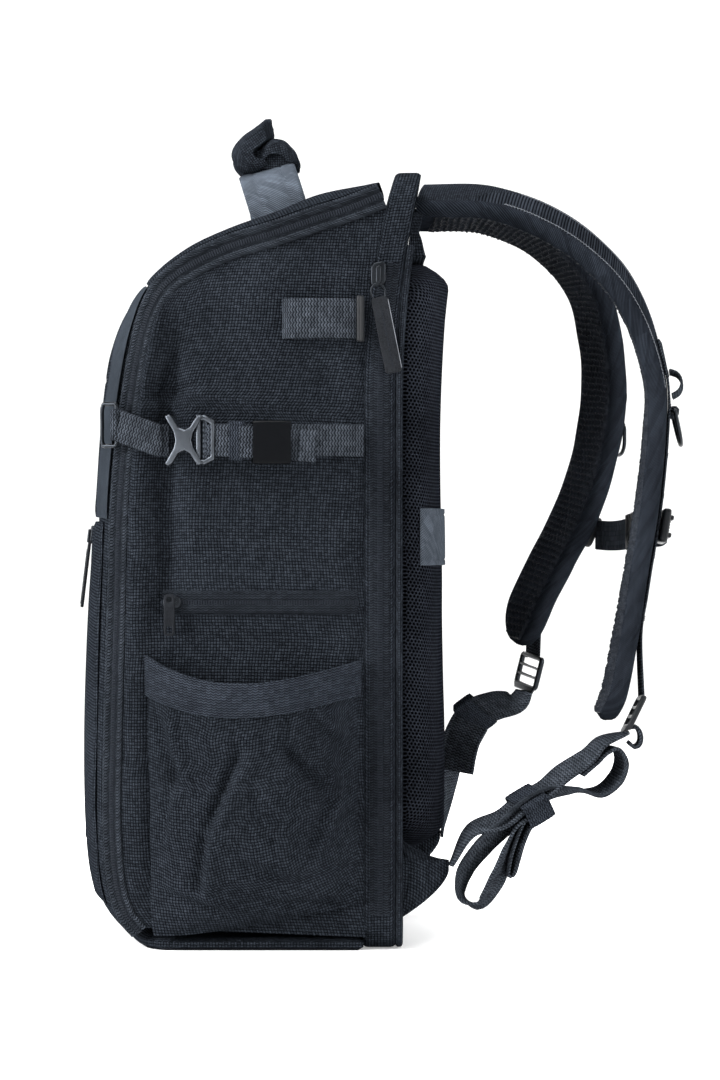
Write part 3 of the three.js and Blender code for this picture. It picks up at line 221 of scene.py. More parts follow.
def run_lengths(points):
    """The length along a row of points up to each of them."""
    return np.concatenate([[0], np.cumsum(np.linalg.norm(np.diff(points, axis=0), axis=1))])


def towards(v, other):
    """v or its opposite, whichever points more towards other."""
    return -v if np.dot(v, other) < 0 else v


def around(count):
    """Shares of a closed line."""
    return np.linspace(0, 1, count, endpoint=False)


class Line:
    """A centripetal Catmull-Rom curve; at() takes places from 0 to 1."""

    def __init__(self, points, closed=False):
        self.points = np.array(points, float)
        self.closed = closed

    def at(self, t):
        t = np.atleast_1d(np.asarray(t, float))
        p = self.points
        count = len(p)
        if self.closed:
            place = (t % 1.0) * count
            k = np.floor(place).astype(int)
            w = place - k
            a, b, c, d = (p[(k + i) % count] for i in (-1, 0, 1, 2))
        else:
            place = np.clip(t, 0, 1) * (count - 1)
            k = np.minimum(np.floor(place).astype(int), count - 2)
            w = place - k
            wide = np.vstack([2 * p[0] - p[1], p, 2 * p[-1] - p[-2]])
            a, b, c, d = (wide[k + i] for i in range(4))
        d0, d1, d2 = (np.sqrt(np.linalg.norm(v, axis=1))[:, None] for v in (a - b, b - c, c - d))
        d1 = np.where(d1 < 1e-4, 1, d1)
        d0 = np.where(d0 < 1e-4, d1, d0)
        d2 = np.where(d2 < 1e-4, d1, d2)
        t1 = ((b - a) / d0 - (c - a) / (d0 + d1) + (c - b) / d1) * d1
        t2 = ((c - b) / d1 - (d - b) / (d1 + d2) + (d - c) / d2) * d1
        w = w[:, None]
        return b + t1 * w + (3 * (c - b) - 2 * t1 - t2) * w**2 + (2 * (b - c) + t1 + t2) * w**3

    def tangent(self, t):
        t = np.atleast_1d(np.asarray(t, float))
        step = 1e-4
        if self.closed:
            return unit(self.at(t + step) - self.at(t - step))
        return unit(self.at(np.minimum(t + step, 1)) - self.at(np.maximum(t - step, 0)))

    def even(self, spacing, start=0.0, stop=1.0):
        """Places along the curve about spacing apart."""
        fine = np.linspace(start, stop, 600)
        points = self.at(fine)
        length = run_lengths(points)
        count = max(int(round(length[-1] / spacing)), 2)
        return np.interp(np.linspace(0, length[-1], count + 1), length, fine)


def turned(v, axis, degrees):
    a = np.radians(degrees)[:, None]
    dot = np.sum(v * axis, axis=1, keepdims=True)
    return v * np.cos(a) + np.cross(axis, v) * np.sin(a) + axis * dot * (1 - np.cos(a))


def frames(line, t, across, roll=0.0):
    """Points, tangents, the direction of the width and that of the face."""
    tangent = line.tangent(t)
    side = unit(across - np.sum(across * tangent, axis=1, keepdims=True) * tangent)
    side = turned(side, tangent, np.broadcast_to(np.asarray(roll, float), (len(t),)))
    return line.at(t), tangent, side, np.cross(side, tangent)


# Meshes

def arc_lengths(points, axis):
    step = np.linalg.norm(np.diff(points, axis=axis), axis=2)
    zero = np.zeros_like(np.take(step, [0], axis=axis))
    return np.concatenate([zero, np.cumsum(step, axis=axis)], axis=axis)


class Piece:
    """Faces gathered for one object, with lengths along the surface as its UVs, in metres."""

    def __init__(self):
        self.verts = []
        self.faces = []
        self.uvs = []
        self.slots = []
        self.count = 0

    def patch(self, points, uv, wrap_u=False, wrap_v=False, flip=False, slot=0):
        rows, cols = points.shape[:2]
        base = self.count
        self.verts.append(points.reshape(-1, 3))
        self.count += rows * cols
        index = base + np.arange(rows * cols).reshape(rows, cols)
        i1 = np.arange(cols if wrap_u else cols - 1)
        j1 = np.arange(rows if wrap_v else rows - 1)
        jj, ii = np.meshgrid(j1, i1, indexing="ij")
        j2 = (jj + 1) % rows
        i2 = (ii + 1) % cols
        quad = np.stack([index[jj, ii], index[jj, i2], index[j2, i2], index[j2, ii]], axis=-1)
        u, v = uv
        last_u = u[:, -1] + np.linalg.norm(points[:, 0] - points[:, -1], axis=1)
        last_v = v[-1] + np.linalg.norm(points[0] - points[-1], axis=1)
        u_right = np.where(ii + 1 >= cols, last_u[jj], u[jj, i2])
        u_right_top = np.where(ii + 1 >= cols, last_u[j2], u[j2, i2])
        v_top = np.where(jj + 1 >= rows, last_v[ii], v[j2, ii])
        v_top_right = np.where(jj + 1 >= rows, last_v[i2], v[j2, i2])
        loops = np.stack([
            np.stack([u[jj, ii], v[jj, ii]], -1), np.stack([u_right, v[jj, i2]], -1),
            np.stack([u_right_top, v_top_right], -1), np.stack([u[j2, ii], v_top], -1),
        ], axis=-2)
        quad = quad.reshape(-1, 4)
        loops = loops.reshape(-1, 4, 2)
        if flip:
            quad = quad[:, ::-1]
            loops = loops[:, ::-1]
        self.faces.extend(quad.tolist())
        self.uvs.append(loops.reshape(-1, 2) * MM)
        self.slots.extend([slot] * len(quad))
        return index

    def cap(self, ring, slot=0, flip=False):
        ring = list(int(k) for k in ring)
        if flip:
            ring = ring[::-1]
        self.faces.append(ring)
        points = np.vstack(self.verts)[ring]
        origin = points.mean(axis=0)
        x = unit(points[0] - origin)
        normal = unit(np.cross(points[0] - origin, points[len(ring) // 4] - origin))
        y = np.cross(normal, x)
        self.uvs.append(np.stack([(points - origin) @ x, (points - origin) @ y], -1) * MM)
        self.slots.append(slot)

    def shell(self, front, back, slot=0, back_slot=None):
        """A closed shell between two grids of the same size."""
        uv = (arc_lengths(front, 1), arc_lengths(front, 0))
        top = self.patch(front, uv, slot=slot)
        low = self.patch(back, uv, flip=True, slot=slot if back_slot is None else back_slot)
        rows, cols = top.shape
        border = [(0, i) for i in range(cols)] + [(j, cols - 1) for j in range(1, rows)]
        border += [(rows - 1, i) for i in range(cols - 2, -1, -1)]
        border += [(j, 0) for j in range(rows - 2, 0, -1)]
        depth = np.linalg.norm(front[0, 0] - back[0, 0])
        along = 0.0
        for k, (j, i) in enumerate(border):
            m, n = border[(k + 1) % len(border)]
            step = np.linalg.norm(front[m, n] - front[j, i])
            self.faces.append([int(low[j, i]), int(low[m, n]), int(top[m, n]), int(top[j, i])])
            self.uvs.append(np.array([
                [along, 0], [along + step, 0], [along + step, depth], [along, depth],
            ]) * MM)
            self.slots.append(slot)
            along += step
        return self

    def tube(self, sections, ring=False, slot=0):
        """Closed cross-sections joined in turn; each is a row of points."""
        sections = np.asarray(sections, float)
        uv = (arc_lengths(sections, 1), arc_lengths(sections, 0))
        index = self.patch(sections, uv, wrap_u=True, wrap_v=ring, slot=slot)
        if not ring:
            self.cap(index[0], slot, flip=True)
            self.cap(index[-1], slot)
        return self

    def loose(self, points, faces, slot=0):
        """Faces with plain lengths along X and Y of each face's own plane as UVs."""
        base = self.count
        points = np.asarray(points, float)
        self.verts.append(points)
        self.count += len(points)
        for face in faces:
            self.faces.append([base + int(k) for k in face])
            corners = points[list(face)]
            x = unit(corners[1] - corners[0])
            normal = unit(np.cross(corners[1] - corners[0], corners[2] - corners[0]))
            y = np.cross(normal, x)
            self.uvs.append(np.stack([corners @ x, corners @ y], -1) * MM)
            self.slots.append(slot)
        return self

    def build(self, name, materials, node=None, sharp=40):
        """Makes the object; node is the CAD node that it stands for."""
        mesh = bpy.data.meshes.new(name)
        verts = np.vstack(self.verts) * MM
        mesh.from_pydata(verts.tolist(), [], self.faces)
        layer = mesh.uv_layers.new(name="UVMap")
        layer.data.foreach_set("uv", np.vstack(self.uvs).ravel().astype(np.float32))
        mesh.polygons.foreach_set("material_index", self.slots)
        mesh.polygons.foreach_set("use_smooth", [True] * len(self.faces))
        mesh.set_sharp_from_angle(angle=math.radians(sharp))
        mesh.update()
        obj = bpy.data.objects.new(name, mesh)
        bpy.context.scene.collection.objects.link(obj)
        if not isinstance(materials, (list, tuple)):
            materials = [materials]
        for item in materials:
            mesh.materials.append(item.material)
        fix_outside(mesh)
        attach(obj, "root")
        if node:
            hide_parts(node)
        return obj


def fix_outside(mesh):
    """Turns a closed mesh's faces outwards."""
    co = np.empty(len(mesh.vertices) * 3, np.float32)
    mesh.vertices.foreach_get("co", co)
    co = co.reshape(-1, 3)
    mesh.calc_loop_triangles()
    tri = np.empty(len(mesh.loop_triangles) * 3, np.int32)
    mesh.loop_triangles.foreach_get("vertices", tri)
    a, b, c = (co[tri.reshape(-1, 3)[:, k]] for k in range(3))
    volume = np.sum(a * np.cross(b, c))
    if volume < 0:
        mesh.flip_normals()


def grid(function, columns, rows):
    """Points of a surface function of arrays u and v from 0 to 1, as rows of columns."""
    u, v = np.meshgrid(np.linspace(0, 1, columns + 1), np.linspace(0, 1, rows + 1))
    return function(u, v)


def layers(surface, outer, inner, columns, rows):
    """The grids of a surface function at its outer and at its inner height."""
    return (
        grid(lambda u, v: surface(u, v, outer), columns, rows),
        grid(lambda u, v: surface(u, v, inner), columns, rows),
    )


def normals(points):
    du = np.gradient(points, axis=1)
    dv = np.gradient(points, axis=0)
    return unit(np.cross(du, dv))


def sweep(line, t, outline, across, roll=0.0, width=1.0, thick=1.0, off=0.0):
    """Sections of a closed outline, as (across, up) pairs, along a line."""
    middle, _, side, face = frames(line, t, across, roll)
    count = len(t)
    width = np.broadcast_to(np.asarray(width, float), (count,))
    thick = np.broadcast_to(np.asarray(thick, float), (count,))
    off = np.broadcast_to(np.asarray(off, float), (count,))
    outline = np.asarray(outline, float)
    if outline.ndim == 2:
        outline = np.broadcast_to(outline, (count, *outline.shape))
    w = outline[:, :, 0] * width[:, None] / 2
    h = outline[:, :, 1] * thick[:, None] / 2 + off[:, None]
    return middle[:, None] + side[:, None] * w[:, :, None] + face[:, None] * h[:, :, None]


def flat_outline(columns=10, soft=0.06):
    """A flat strap's cross-section with soft selvedges."""
    across = np.linspace(-1, 1, columns + 1)
    across[1] = -1 + soft
    across[-2] = 1 - soft
    lift = np.where(np.abs(across) > 0.999, 0.35, 1.0)
    top = np.stack([across, lift], -1)
    low = np.stack([across[::-1], -lift], -1)
    return np.vstack([low[::-1], top[::-1]])


def round_outline(sides=10):
    turn = 2 * np.pi * around(sides)
    return np.stack([np.cos(turn), np.sin(turn)], -1)


STRAP_OUTLINE = flat_outline()
WIRE_OUTLINE = round_outline(10)


# Materials

class Finish:
    """A material, and the record's slot that it belongs to."""

    def __init__(self, material, slot):
        self.material = material
        self.slot = slot


class Nodes:
    """Short names for the few shader nodes that the finishes share."""

    def __init__(self, tree):
        self.tree = tree

    def add(self, kind, **values):
        node = self.tree.nodes.new(kind)
        for key, value in values.items():
            setattr(node, key, value)
        return node

    def link(self, source, target):
        if isinstance(source, (int, float)):
            target.default_value = source
        else:
            self.tree.links.new(source, target)

    def math(self, operation, a, b=0.0, c=0.0):
        node = self.add("ShaderNodeMath", operation=operation)
        for k, value in enumerate((a, b, c)):
            self.link(value, node.inputs[k])
        return node.outputs[0]

    def times(self, a, b):
        return self.math("MULTIPLY", a, b)

    def plus(self, a, b):
        return self.math("ADD", a, b)

    def minus(self, a, b):
        return self.math("SUBTRACT", a, b)

    def blend(self, share, a, b):
        """a where share is 0, b where it is 1."""
        return self.math("MULTIPLY_ADD", share, self.minus(b, a), a)

    def ramp(self, value, low, high, start, stop):
        node = self.add("ShaderNodeMapRange")
        for k, item in enumerate((value, low, high, start, stop)):
            self.link(item, node.inputs[k])
        return node.outputs[0]

    def uv(self, pitch_u, pitch_v, turn=0.0):
        """Steps of a pattern along the surface, as two numbers."""
        coordinate = self.add("ShaderNodeUVMap", uv_map="UVMap")
        mapping = self.add("ShaderNodeMapping")
        mapping.inputs["Rotation"].default_value = (0, 0, turn)
        self.link(coordinate.outputs[0], mapping.inputs[0])
        split = self.add("ShaderNodeSeparateXYZ")
        self.link(mapping.outputs[0], split.inputs[0])
        x = self.times(split.outputs[0], 1 / (pitch_u * MM))
        y = self.times(split.outputs[1], 1 / (pitch_v * MM))
        return x, y

    def noise(self, scale, detail=3.0, place=None, roughness=0.5):
        if place is None:
            place = self.add("ShaderNodeTexCoord").outputs["Object"]
        node = self.add("ShaderNodeTexNoise")
        self.link(place, node.inputs["Vector"])
        node.inputs["Scale"].default_value = scale
        node.inputs["Detail"].default_value = detail
        node.inputs["Roughness"].default_value = roughness
        return node.outputs[0]

    def cell(self, x, y):
        """A random number for each cell of a pattern."""
        join = self.add("ShaderNodeCombineXYZ")
        self.link(self.math("FLOOR", x), join.inputs[0])
        self.link(self.math("FLOOR", y), join.inputs[1])
        node = self.add("ShaderNodeTexWhiteNoise", noise_dimensions="2D")
        self.link(join.outputs[0], node.inputs["Vector"])
        return node.outputs[0]

    def wave(self, x):
        """From 0 to 1 and back within each step."""
        return self.math("ABSOLUTE", self.math("SINE", self.times(x, math.pi)))


def weave(n, pitch):
    """The height of a basket weave and a number for each crossing."""
    x, y = n.uv(pitch, pitch)
    parity = n.math("FLOORED_MODULO", n.plus(n.math("FLOOR", x), n.math("FLOOR", y)), 2)
    wx = n.wave(x)
    wy = n.wave(y)
    warp = n.times(wx, n.math("MULTIPLY_ADD", wy, 0.45, 0.55))
    weft = n.times(wy, n.math("MULTIPLY_ADD", wx, 0.45, 0.55))
    return n.blend(parity, warp, weft), n.cell(x, y)


def ribs(n, pitch, across=None):
    """Ribs across a strap, cut by a few grooves along it."""
    x, y = n.uv(across or 3.3, pitch)
    zig = n.math("PINGPONG", x, 0.5)
    rib = n.wave(n.math("MULTIPLY_ADD", zig, 1.1, y))
    groove = n.ramp(n.wave(x), 0, 0.25, 0.55, 1)
    return n.times(rib, groove), n.cell(x, y)


def twill(n, pitch):
    """Fine slanting lines."""
    x, y = n.uv(pitch, pitch, math.radians(45))
    return n.wave(x), n.cell(n.times(x, 0.5), n.times(y, 0.1))


def cords(n, pitch):
    """Straight cords across a strap."""
    x, y = n.uv(pitch * 0.5, pitch)
    return n.times(n.wave(y), n.math("MULTIPLY_ADD", n.wave(x), 0.2, 0.8)), n.cell(y, y)


def holes(n, pitch):
    """Rows of round holes set between each other, as in air mesh."""
    x, y = n.uv(pitch, pitch * math.sqrt(3))

    def away(shift):
        fx = n.minus(n.math("FRACT", n.plus(x, shift)), 0.5)
        fy = n.minus(n.math("FRACT", n.plus(y, shift)), 0.5)
        fy = n.times(fy, math.sqrt(3))
        return n.math("SQRT", n.plus(n.times(fx, fx), n.times(fy, fy)))

    near = n.math("MINIMUM", away(0.0), away(0.5))
    return n.ramp(near, 0.2, 0.42, 0, 1), n.cell(n.times(x, 2), n.times(y, 2))


def grain(n, pitch):
    """Small pebbles, as in leather and coated cloth."""
    place = n.add("ShaderNodeTexCoord").outputs["Object"]
    node = n.add("ShaderNodeTexVoronoi", feature="SMOOTH_F1")
    n.link(place, node.inputs["Vector"])
    node.inputs["Scale"].default_value = 1 / (pitch * MM)
    node.inputs["Smoothness"].default_value = 0.5
    return n.minus(1.0, node.outputs[0]), n.noise(420, 2)


def speckle(n, pitch):
    """The fine matt skin of moulded plastic and dull metal."""
    return n.noise(1 / (pitch * MM), 2), n.noise(90, 3)


def brightness(n, height, cell, cloud, spread, wear, dark, light):
    """How bright each place is: by thread (partly painted glints), by relief (painted shade and
    highlight), by large patches and by fine grain.
    """
    # each thread's own brightness, differing at random and partly standing for painted glints
    tone = n.ramp(cell, 0, 1, 1 - spread, 1 + spread)
    shares = [
        # painted shade in the relief's hollows and a painted highlight on its tops
        n.ramp(height, 0, 1, dark, light),
        n.ramp(cloud, 0.3, 0.7, 1 - wear, 1 + wear),
        n.ramp(n.noise(190, 3), 0.3, 0.7, 0.9, 1.1),
    ]
    for share in shares:
        tone = n.times(tone, share)
    return tone


def finish(name, slot, color, pattern, pitch, depth, roughness, spread=0.25, wear=0.25, dark=0.05,
           light=1.15, metallic=0.0, specular=0.0):
    """A material whose colour, roughness and relief all follow one pattern.

    depth is the relief in millimetres, spread how much single threads differ (partly painted
    glints), wear how much the whole surface varies, and dark and light the brightness between
    and on the threads: painted shade in the hollows and a painted highlight on the tops.
    """
    material = bpy.data.materials.new(name)
    material.use_nodes = True
    n = Nodes(material.node_tree)
    shader = material.node_tree.nodes["Principled BSDF"]
    height, cell = pattern(n, pitch)
    cloud = n.noise(16, 4, roughness=0.6)
    tone = brightness(n, height, cell, cloud, spread, wear, dark, light)
    paint = n.add("ShaderNodeCombineXYZ")
    for k in range(3):
        n.link(n.times(tone, color[k]), paint.inputs[k])
    n.link(paint.outputs[0], shader.inputs["Base Color"])
    rough = n.plus(n.ramp(cell, 0, 1, -0.08, 0.08), n.ramp(cloud, 0.3, 0.7, -0.05, 0.05))
    n.link(n.plus(rough, roughness), shader.inputs["Roughness"])
    relief = n.add("ShaderNodeBump")
    relief.inputs["Strength"].default_value = 1.0
    relief.inputs["Distance"].default_value = depth * MM
    n.link(height, relief.inputs["Height"])
    n.link(relief.outputs[0], shader.inputs["Normal"])
    shader.inputs["Metallic"].default_value = metallic
    shader.inputs["Specular IOR Level"].default_value = specular
    return Finish(material, slot)


# In these finishes dark and light set the painted shade in each pattern's hollows and the painted
# highlight on its tops
BALLISTIC = finish("ballistic_nylon", "ballistic", (0.0068, 0.0081, 0.0103), weave, 1.95, 0.7, 0.5,
                   spread=0.3, wear=0.22, dark=0.0, light=2.7)
BALLISTIC_FINE = finish("plain_nylon", "ballistic", (0.0098, 0.0116, 0.0147), weave, 1.5, 0.45, 0.5,
                        spread=0.4, wear=0.3, light=2.0)
SLICK = finish("coated_cloth", "slick", (0.0160, 0.0192, 0.0238), grain, 0.9, 0.05, 0.5, spread=0.1,
               dark=0.7)
ZIP_TAPE = finish("zip_tape", "zip", (0.0068, 0.0080, 0.0100), ribs, 1.6, 0.35, 0.5, light=2.0)
ZIP_COIL = finish("zip_coil", "zip", (0.0120, 0.0140, 0.0180), speckle, 0.6, 0.03, 0.4, spread=0.1,
                  wear=0.1, dark=0.8, specular=0.02)
BINDING = finish("ribbed_binding", "piping", (0.0115, 0.0135, 0.0168), ribs, 1.9, 0.6, 0.5, spread=0.3,
                 light=1.9)
AIR_MESH = finish("air_mesh", "air_mesh", (0.0098, 0.0112, 0.0148), holes, 2.5, 1.1, 0.6, wear=0.3,
                  dark=0.0, light=1.5)
TWILL = finish("satin_twill", "twill", (0.0420, 0.0495, 0.0610), twill, 1.15, 0.25, 0.45, spread=0.2,
               dark=0.3, light=1.5)
WEB = finish("webbing", "webbing", (0.0178, 0.0206, 0.0252), ribs, 2.0, 0.6, 0.5, spread=0.3, wear=0.3,
             dark=0.04, light=1.9)
ELASTIC = finish("elastic", "webbing", (0.0115, 0.0136, 0.0175), ribs, 1.6, 0.4, 0.5, light=1.9)
PLASTIC = finish("buckle_plastic", "buckle_plastic", (0.0070, 0.0078, 0.0092), speckle, 0.35, 0.03,
                 0.38, spread=0.08, wear=0.12, dark=0.8, specular=0.12)
GUNMETAL = finish("gunmetal", "dark_metal", (0.054, 0.060, 0.069), speckle, 0.3, 0.02, 0.36,
                  spread=0.06, wear=0.15, dark=0.85, metallic=1.0, specular=0.5)
STEEL = finish("dark_steel", "dark_metal", (0.016, 0.018, 0.021), speckle, 0.3, 0.02, 0.32, spread=0.06,
               wear=0.15, dark=0.85, metallic=1.0, specular=0.5)
LEATHER = finish("leather", "leather", (0.0100, 0.0112, 0.0135), grain, 0.9, 0.12, 0.42, wear=0.3,
                 dark=0.3, specular=0.06)
RUBBER = finish("rubber", "rubber", (0.0100, 0.0110, 0.0130), speckle, 0.5, 0.04, 0.5, spread=0.1,
                wear=0.1, dark=0.7, specular=0.01)
BLACK_GLOSS = finish("glossy_plastic", "buckle_plastic", (0.0022, 0.0025, 0.0031), speckle, 0.5, 0.015,
                     0.3, spread=0.06, wear=0.1, dark=0.85, specular=0.04)
THREAD = finish("thread", "piping", (0.0150, 0.0175, 0.0220), speckle, 0.4, 0.05, 0.5, spread=0.2,
                wear=0.1, dark=0.35)
REFLECTIVE = finish("light_thread", "piping", (0.190, 0.203, 0.225), speckle, 0.4, 0.05, 0.4,
                    spread=0.3, wear=0.2, dark=0.35)
CORDS = finish("corded_face", "air_mesh", (0.0110, 0.0130, 0.0166), cords, 2.1, 0.9, 0.5, wear=0.3,
               dark=0.0, light=1.8)
HONEYCOMB = finish("spacer_mesh", "air_mesh", (0.0150, 0.0173, 0.0217), speckle, 0.7, 0.2, 0.4,
                   spread=0.4, wear=0.3, dark=0.2, light=1.5, specular=0.01)
BINDING_SMOOTH = finish("woven_binding", "piping", (0.0090, 0.0108, 0.0142), twill, 1.5, 0.4, 0.5,
                        wear=0.3, dark=0.1, light=1.8)


# The camera stands level with the middle of the pack, square to its right side
CAMERA_PLACE = (2.6, 0.063, 0.257)
CAMERA_LENS = 130.9


def add_camera():
    data = bpy.data.cameras.new("view")
    camera = bpy.data.objects.new("view", data)
    camera.location = CAMERA_PLACE
    camera.rotation_euler = (math.radians(90), 0, math.radians(90))
    data.sensor_width = 36
    data.lens = CAMERA_LENS
    bpy.context.scene.collection.objects.link(camera)
    bpy.context.scene.camera = camera


# The floor in metres: the flat part's radius, the bend's radius, and the wall's top
FLOOR_FLAT = 3.5
FLOOR_BEND = 2.5
FLOOR_WALL = 7.0
FLOOR_SIDES = 96
BEND_STEPS = 12


def floor_mesh():
    """A disc that curves up all around into a wall."""
    profile = [(FLOOR_FLAT, 0.0)]
    for k in range(1, BEND_STEPS + 1):
        turn = k / BEND_STEPS * math.pi / 2
        rise = FLOOR_BEND - FLOOR_BEND * math.cos(turn)
        profile.append((FLOOR_FLAT + FLOOR_BEND * math.sin(turn), rise))
    profile.append((FLOOR_FLAT + FLOOR_BEND, FLOOR_WALL))
    verts = [(0.0, 0.0, 0.0)]
    for radius, z in profile:
        for turn in 2 * math.pi * around(FLOOR_SIDES):
            verts.append((radius * math.cos(turn), radius * math.sin(turn), z))
    faces = [(0, 1 + k, 1 + (k + 1) % FLOOR_SIDES) for k in range(FLOOR_SIDES)]
    for j in range(len(profile) - 1):
        a = 1 + j * FLOOR_SIDES
        for k in range(FLOOR_SIDES):
            m = (k + 1) % FLOOR_SIDES
            faces.append((a + k, a + FLOOR_SIDES + k, a + FLOOR_SIDES + m, a + m))
    mesh = bpy.data.meshes.new("studio_floor")
    mesh.from_pydata(verts, [], faces)
    mesh.polygons.foreach_set("use_smooth", [True] * len(faces))
    return mesh


def add_floor():
    mesh = floor_mesh()
    floor = bpy.data.objects.new("studio_floor", mesh)
    bpy.context.scene.collection.objects.link(floor)
    material = bpy.data.materials.new("studio_white")
    material.use_nodes = True
    shader = material.node_tree.nodes["Principled BSDF"]
    shader.inputs["Base Color"].default_value = (0.8, 0.8, 0.8, 1)
    shader.inputs["Emission Color"].default_value = (1, 1, 1, 1)
    shader.inputs["Emission Strength"].default_value = 0.3
    shader.inputs["Roughness"].default_value = 0.9
    shader.inputs["Specular IOR Level"].default_value = 0.1
    mesh.materials.append(material)


# Soft lamps, in metres and watts: place, size and power, all aimed at the pack's middle
LAMP_AIM = (0, 0.05, 0.26)
LAMPS = [
    ("over", (0.4, -0.3, 2.2), (1.2, 1.2), 66),
    ("front_side", (1.0, -2.0, 0.8), (0.35, 1.5), 110),
    ("back_side", (0.8, 2.2, 0.9), (0.4, 1.6), 50),
    ("face", (2.2, -1.3, 1.9), (0.5, 0.5), 30),
    ("left_side", (-1.9, 0.3, 1.2), (0.8, 1.2), 40),
]
SKY_COLOR = (0.95, 0.98, 1, 1)
SKY_STRENGTH = 0.35


def add_light(name, place, size, power):
    data = bpy.data.lights.new(name, "AREA")
    data.shape = "RECTANGLE"
    data.size, data.size_y = size
    data.energy = power
    light = bpy.data.objects.new(name, data)
    light.location = place
    x, y, z = unit(np.array(LAMP_AIM, float) - np.array(place, float))
    light.rotation_euler = (math.atan2(math.hypot(x, y), -z), 0, math.atan2(x, -y) + math.pi)
    bpy.context.scene.collection.objects.link(light)


def add_lights():
    world = bpy.data.worlds.new("studio")
    world.use_nodes = True
    sky = world.node_tree.nodes["Background"]
    sky.inputs[0].default_value = SKY_COLOR
    sky.inputs[1].default_value = SKY_STRENGTH
    bpy.context.scene.world = world
    # The Standard view keeps dark cloth dark beside a white floor
    bpy.context.scene.view_settings.view_transform = "Standard"
    for lamp in LAMPS:
        add_light(*lamp)


add_camera()
add_floor()
add_lights()


# The shell's surfaces, as in the frame; all take arrays of places

EDGE = Line([(0, a * PACK_DEPTH, b * PACK_HEIGHT) for a, b, _, _ in PROFILE])
MIDDLE = Line([(0, c * PACK_DEPTH, d * PACK_HEIGHT) for _, _, c, d in PROFILE])


def edge_at(s):
    tangent = EDGE.tangent(s)
    out = np.stack([np.zeros(len(tangent)), -tangent[:, 2], tangent[:, 1]], -1)
    return EDGE.at(s), out


def zip_reach(s):
    share = 0.7 + 0.25 * smoothstep(s, 0.5, 0.75)
    return ZIP_BAND * share / 2


def zip_inset(s):
    return np.sqrt(ZIP_BAND**2 - (2 * zip_reach(s)) ** 2)


def side_edge(s, inset=0.0):
    s = np.atleast_1d(np.asarray(s, float))
    point, out = edge_at(s)
    point = point - out * (zip_reach(s) + inset)[:, None]
    point[:, 0] = HALF_WIDTH
    return point


def front_edge(s, inset=0.0):
    s = np.atleast_1d(np.asarray(s, float))
    point, out = edge_at(s)
    point = point + out * (zip_reach(s) + inset)[:, None]
    point[:, 0] = HALF_WIDTH - zip_inset(s)
    return point


def front_at(s, turn, depth):
    """Places on the front and top: s along them, turn in degrees, depth below the pockets."""
    shape = np.broadcast(s, turn, depth).shape
    s, turn, depth = (np.broadcast_to(np.asarray(a, float), shape).ravel() for a in (s, turn, depth))
    angle = np.radians(turn)
    edge = front_edge(s, GAP)
    _, out = edge_at(s)
    middle = MIDDLE.at(s)
    middle[:, 0] = 0
    point = edge + (middle - edge) * np.cos(angle)[:, None]
    point -= out * (depth * np.cos(angle))[:, None]
    point[:, 0] = (edge[:, 0] - GAP - depth) * np.sin(angle)
    return point.reshape(*shape, 3)


def lean(z):
    start = LEAN_START * PACK_HEIGHT
    share = np.maximum(np.asarray(z, float) - start, 0) / (PACK_HEIGHT - start)
    return GUSSET_LEAN * share**2


def gusset_front(z):
    return GUSSET_FRONT + lean(z)


def gusset_rear(z):
    return GUSSET_FRONT + GUSSET_DEPTH + 0.78 * lean(z)


def side_swell(y, z):
    along = (y + 0.36 * PACK_DEPTH) / (0.63 * PACK_DEPTH)
    up = z / (0.93 * PACK_HEIGHT)
    bow = arch(along)
    rise = arch(up)
    valley = bump(along, 0.21, 0.05) * smoothstep(up, 0.4, 0.55)
    return SIDE_BULGE * np.maximum(bow * rise - 0.4 * valley * rise, 0)


def on_side(side, y, z, off=0.0):
    x = side * (HALF_WIDTH + side_swell(y, z) + off)
    return places(x, y, z)


def find_top_end():
    """Where the top panel ends, just short of the rear gusset."""
    for s in np.arange(1, 0, -0.002):
        point, out = edge_at([s])
        reach = max(point[0, 1] + abs(out[0, 1]) * zip_reach(s), front_at(s, 0, 0)[1])
        if reach < gusset_front(PACK_HEIGHT * PROFILE[-1][1]) - 2 * GAP:
            return s
    return 1.0


TOP_END = find_top_end()


# Rolls down the side: distance from its front edge, half width, height, and the levels between
# which each one rises and fades
SIDE_ROLLS = [
    (9, 9, 4.5, (20, 60), (395, 425)),
    (27, 8, -6.5, (190, 260), (350, 405)),
    (44, 11, 3.0, (230, 290), (350, 400)),
]


def side_relief(y, z, near):
    """The side's rolls, valley and folds, as heights on the frame's side surface."""
    front = -83 + 14 * smoothstep(z, 330, 420) - 2 * smoothstep(z, 60, 150)
    from_front = y - front
    rolls = 0
    for middle, width, height, start, stop in SIDE_ROLLS:
        roll = height * bump(from_front, middle, width)
        rolls = rolls + roll * smoothstep(z, *start) * (1 - smoothstep(z, *stop))
    rear = 2.6 * bump(y, 53, 8) * smoothstep(z, 30, 80) * (1 - smoothstep(z, 400, 440))
    slant = z - 0.18 * from_front
    crease = -3.0 * bump(slant, 345, 5) * bump(from_front, 24, 22)
    crease += 2.2 * bump(slant, 335, 6) * bump(from_front, 20, 20)
    folds = 1.0 * np.sin(z / 13.0 + y / 21.0 + 1.3 * near) * np.sin(y / 17.0 - z / 37.0)
    pucker = 0.9 * np.sin(z / 5.2) * bump(from_front, 0, 6) * smoothstep(z, 60, 120)
    return rolls + rear + crease + folds + pucker


def fade(u, v, edge):
    """1 inside a patch, running down to 0 at its four edges."""
    near = np.minimum(nearer(u), nearer(v))
    return smoothstep(near, 0, edge)


